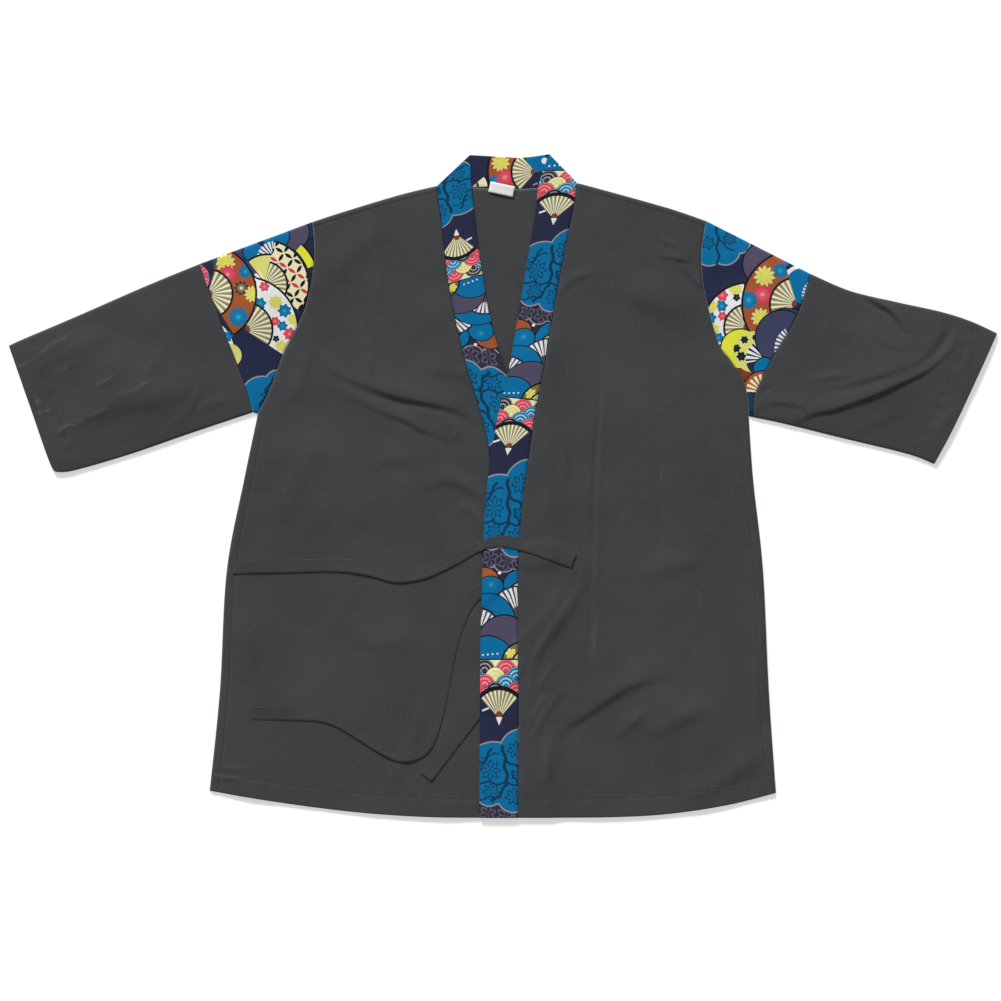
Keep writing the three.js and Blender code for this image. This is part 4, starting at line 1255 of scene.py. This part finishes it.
def sleeve(label, side, armhole, table):
    """The printed top between armhole and seam, then the plain sleeve from that seam to the cuff."""
    armhole_seam = Curve(armhole).reversed().offset(side * SEAM_GAP)
    seam = Curve(table["seam"])
    columns = stations(seam.length, *GRIDS["sleeve columns"])
    ends = [Curve([armhole_seam.at(share), seam.at(share)]) for share in (0.0, 1.0)]
    rows = stations(ends[0].length, *GRIDS["sleeve top rows"])
    plan = patch(armhole_seam, seam, *ends, columns, rows)
    along = grid_lengths(plan)[1]
    seams = groove("armhole", along) + groove("sleeve seam", along[-1:] - along)
    folds = f"sleeve_{label}"
    crown = smoothstep(rows, 0, 1)
    top = flat_tube(f"sleeve_top_{label}_cloth", plan, crown, folds, seams, plan, 0, SLEEVE_CLOTHS[label])

    plain_seam = seam.offset(side * SEAM_GAP)
    upper = Curve(table["upper"]).starting_at(plain_seam.at(0.0))
    under = Curve(table["under"]).starting_at(plain_seam.at(1.0))
    rows = stations(under.length, *GRIDS["sleeve rows"])
    plan = patch(plain_seam, Curve(table["cuff"]), upper, under, columns, rows)
    across, along = grid_lengths(plan)
    seams = groove("sleeve seam", along) + hem_relief(along[-1:] - along, across, HEM_DEPTH["cuff"])
    uv = np.dstack([across, along])
    return top, flat_tube(folds + "_cloth", plan, np.ones(len(rows)), folds, seams, uv, UNDER_SHIFT, TWILL)


# Ties
def tree_of(made):
    vertices = [vertex.co for vertex in made.data.vertices]
    return BVHTree.FromPolygons(vertices, [tuple(face.vertices) for face in made.data.polygons])


def height_over(trees, x, y):
    """The height in millimetres of what lies under a plan point."""
    start = Vector(((x + SHIFT[0]) * MM, (y + SHIFT[1]) * MM, RAY_TOP))
    hits = [tree.ray_cast(start, Vector((0, 0, -1)))[0] for tree in trees]
    return max([0.0] + [hit.z / MM for hit in hits if hit is not None])


def ground_spread(ground, axis):
    """The highest of each point and its neighbours along an axis."""
    padded = np.pad(ground, [(1, 1) if a == axis else (0, 0) for a in range(2)], mode="edge")
    size = ground.shape[axis]
    return np.max([np.take(padded, np.arange(k, k + size), axis=axis) for k in range(3)], axis=0)


def smoothed(ground, passes):
    for _ in range(passes):
        padded = np.pad(ground, [(1, 1), (0, 0)], mode="edge")
        ground = np.maximum(ground, (padded[:-2] + ground + padded[2:]) / 3)
    return ground


def tie_strap(name, trees):
    """A tie, laid over the highest of what lies under it."""
    centre = tie_centre(TIES[name])
    shares = stations(centre.length, TIE_STEP)
    knots = np.linspace(0, 1, len(TIES[name]))
    width, lean = (np.interp(shares, knots, [row[k] for row in TIES[name]])[:, None] for k in (2, 3))
    middle = centre.at(shares)
    along = np.gradient(middle, axis=0)
    along /= np.linalg.norm(along, axis=1)[:, None]
    square = np.stack([-along[:, 1], along[:, 0]], axis=1)
    plan = middle[:, None] + square[:, None] * (TIE_ACROSS[None, :, None] * width[..., None] / 2)
    ground = np.array([[height_over(trees, x, y) for x, y in row] for row in plan])
    ground = np.maximum(ground, ground_spread(ground, 0))
    ground = smoothed(ground_spread(ground, 1), 2)
    low = 0.5 + 0.5 * TIE_ACROSS[None] * np.where(square[:, 1:2] > 0, -1, 1)
    leaned = np.where(lean > 0, lean * low**2, lean * (low - TIE_LEVEL))
    wobble = TIE_WOBBLE * np.sin(np.arange(len(shares)) * TIE_STEP / 13)[:, None] * TIE_ACROSS[None]
    height = ground + SEAM_GAP + TIE_SHELL + leaned + wobble
    uv = np.dstack(np.broadcast_arrays(8 * TIE_ACROSS[None], centre.length * shares[:, None]))
    return shell(name + "_cloth", plan, height, uv, TWILL, TIE_SHELL), plan


# Stitches
class Stitching:
    """Short straight stitches along lines, lying on the cloth under them."""

    LENGTH, PITCH, RADIUS = 2.3, 3.1, 0.18
    SIDES = 6
    # the rings of one stitch: share of its length, size and rise
    STEPS = [(0.0, 0.5, -0.1), (0.3, 1.0, 0.1), (0.7, 1.0, 0.1), (1.0, 0.5, -0.1)]

    def __init__(self):
        self.points = []
        self.faces = []

    def line(self, plan, tree):
        curve = Curve(plan, smooth=False)
        half = self.LENGTH / 2
        for k in range(int(curve.length / self.PITCH)):
            middle = (k + 0.5) * self.PITCH
            ends = curve.at([(middle - half) / curve.length, (middle + half) / curve.length])
            self.stitch(*(np.array([x, y, height_over([tree], x, y)]) for x, y in ends))

    def stitch(self, a, b):
        along = (b - a) / (np.linalg.norm(b - a) + 1e-9)
        side = np.cross(along, (0, 0, 1.0))
        side /= np.linalg.norm(side) + 1e-9
        up = np.cross(side, along)
        start = len(self.points)
        for share, size, rise in self.STEPS:
            centre = a + (b - a) * share + up * rise
            for k in range(self.SIDES):
                angle = 2 * math.pi * k / self.SIDES
                round_it = math.cos(angle) * side + 0.7 * math.sin(angle) * up
                self.points.append(centre + self.RADIUS * size * round_it)
        index = start + np.arange(len(self.STEPS) * self.SIDES).reshape(-1, self.SIDES)
        self.faces += quads(np.hstack([index, index[:, :1]])).tolist()
        self.faces += [index[0, ::-1].tolist(), index[-1].tolist()]


def line_at(plan, axis, distance, from_end=False):
    """The line on a grid at a distance from one of its edges, as plan points."""
    grid = plan.swapaxes(0, axis)
    grid = grid[::-1] if from_end else grid
    line = []
    for lengths, column in zip(grid_lengths(grid)[1].T, grid.swapaxes(0, 1)):
        line.append([np.interp(distance, lengths, part) for part in column.T])
    return np.array(line)


# The label
def neck_label():
    low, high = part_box("neck_label")
    middle = [(low[axis] + high[axis]) / 2 / MM - SHIFT[axis] for axis in range(2)]
    width, depth = LABEL_SIZE
    x, y = np.meshgrid(np.linspace(-0.5, 0.5, 15) * width, np.linspace(-0.5, 0.5, 7) * depth)
    cos, sin = math.cos(LABEL_TURN), math.sin(LABEL_TURN)
    plan = np.dstack([middle[0] + x * cos - y * sin, middle[1] + x * sin + y * cos])
    height = high[2] / MM + 0.25 * np.cos(x / 6) + 0.5 * (y / depth + 0.5) ** 2
    return shell("neck_label_cloth", plan, height, np.dstack([x, y]), LABEL_CLOTH, LABEL_SHELL), plan


# The jacket
HALVES = {
    -1: {
        "front": "front_right", "band": "collar_right", "rows": BAND_RIGHT, "tip": (-37.5, 370.5),
        "edge": SIDE_RIGHT, "armhole": ARMHOLE_RIGHT, "shoulder": SHOULDER_RIGHT,
        "fine_rows": [(380, 500, 1.7)],
        "front_height": right_front_height, "band_height": right_band_height,
    },
    1: {
        "front": "front_left", "band": "collar_left", "rows": BAND_LEFT, "tip": (51, 371.5),
        "edge": SIDE_LEFT, "armhole": ARMHOLE_LEFT, "shoulder": SHOULDER_LEFT,
        "fine_rows": [(60, 140, 2.0), (588, 640, 1.7)],
        "front_height": left_front_height, "band_height": left_band_height,
    },
}
pieces = {}
for half_side, half in HALVES.items():
    pieces[half["front"]] = front_panel(half_side, half)
    pieces[half["band"]] = band_panel(half_side, half)
pieces["back"] = back_panel()
pieces["collar_back"] = collar_back_panel()
pieces["sleeve_top_right"], pieces["sleeve_right"] = sleeve("right", -1, ARMHOLE_RIGHT, SLEEVE_RIGHT)
pieces["sleeve_top_left"], pieces["sleeve_left"] = sleeve("left", 1, ARMHOLE_LEFT, SLEEVE_LEFT)

UNDER_TIES = {
    "tie_side_outer": ["front_right", "collar_left", "front_left"],
    "tie_front_outer": ["front_right"],
    "tie_front_inner": ["front_right", "collar_right"],
}
trees = {node: tree_of(made) for node, (made, _) in pieces.items()}
for node, under in UNDER_TIES.items():
    pieces[node] = tie_strap(node, [trees[name] for name in under])
    trees[node] = tree_of(pieces[node][0])

# Lines of stitches: the axis of the grid across the line, its distance, and whether from the far end
FRONT_LINES = [(0, HEM_DEPTH["body"], False), (0, SHOULDER_LINE, True)]
BAND_LINES = [(1, BAND_STITCHES["free"], False), (1, BAND_STITCHES["sewn"], True)]
CUFF_LINES = [(0, HEM_DEPTH["cuff"], True)]
TIE_LINES = [(0, TIE_STITCHES, True), (1, TIE_STITCHES, False), (1, TIE_STITCHES, True)]
SEWN = [
    ("front_right", FRONT_LINES), ("collar_right", BAND_LINES), ("front_left", FRONT_LINES),
    ("collar_left", BAND_LINES), ("sleeve_right", CUFF_LINES), ("sleeve_left", CUFF_LINES),
    *((node, TIE_LINES) for node in TIES),
]
stitching = Stitching()
for node, stitch_lines in SEWN:
    for where in stitch_lines:
        stitching.line(line_at(pieces[node][1], *where), trees[node])
new_piece("stitches", stitching.points, stitching.faces, THREAD)

pieces["neck_label"] = neck_label()
for node, (made, _) in pieces.items():
    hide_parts(node)


# Floor, light and camera
def floor():
    material = new_material("floor", {
        "Base Color": (0.6, 0.6, 0.6, 1), "Emission Color": (1, 1, 1, 1), "Emission Strength": FLOOR_GLOW,
        "Roughness": 0.9, "Specular IOR Level": 0.1,
    })
    sides = ((-1, -1), (1, -1), (1, 1), (-1, 1))
    corners = [(x * FLOOR_REACH, y * FLOOR_REACH, -FLOOR_DROP) for x, y in sides]
    mesh = bpy.data.meshes.new("floor")
    mesh.from_pydata(corners, [], [(0, 1, 2, 3)])
    mesh.materials.append(material)
    place("floor", mesh)


def light():
    world = bpy.data.worlds.new("studio")
    world.use_nodes = True
    background = world.node_tree.nodes["Background"].inputs
    background["Color"].default_value = (1, 1, 1, 1)
    background["Strength"].default_value = WORLD_STRENGTH
    bpy.context.scene.world = world
    sun = bpy.data.lights.new("key", "SUN")
    sun.energy = SUN_STRENGTH
    sun.angle = math.radians(SUN_WIDTH)
    place("key", sun).rotation_euler = Vector(SUN_TRAVEL).to_track_quat("-Z", "Y").to_euler()


def camera():
    data = bpy.data.cameras.new("camera")
    data.sensor_width = SENSOR
    data.lens = SENSOR * CAMERA_HEIGHT / (PHOTO_SIZE * MM_PER_PIXEL * MM)
    middle = PHOTO_SIZE / 2
    x = (middle - PLAN_ORIGIN_PIXEL[0]) * MM_PER_PIXEL + SHIFT[0]
    y = (PLAN_ORIGIN_PIXEL[1] - middle) * MM_PER_PIXEL + SHIFT[1]
    made = place("camera", data)
    made.location = (x * MM, y * MM, CAMERA_HEIGHT)
    bpy.context.scene.camera = made


floor()
light()
camera()
bpy.context.scene.view_settings.view_transform = "Standard"
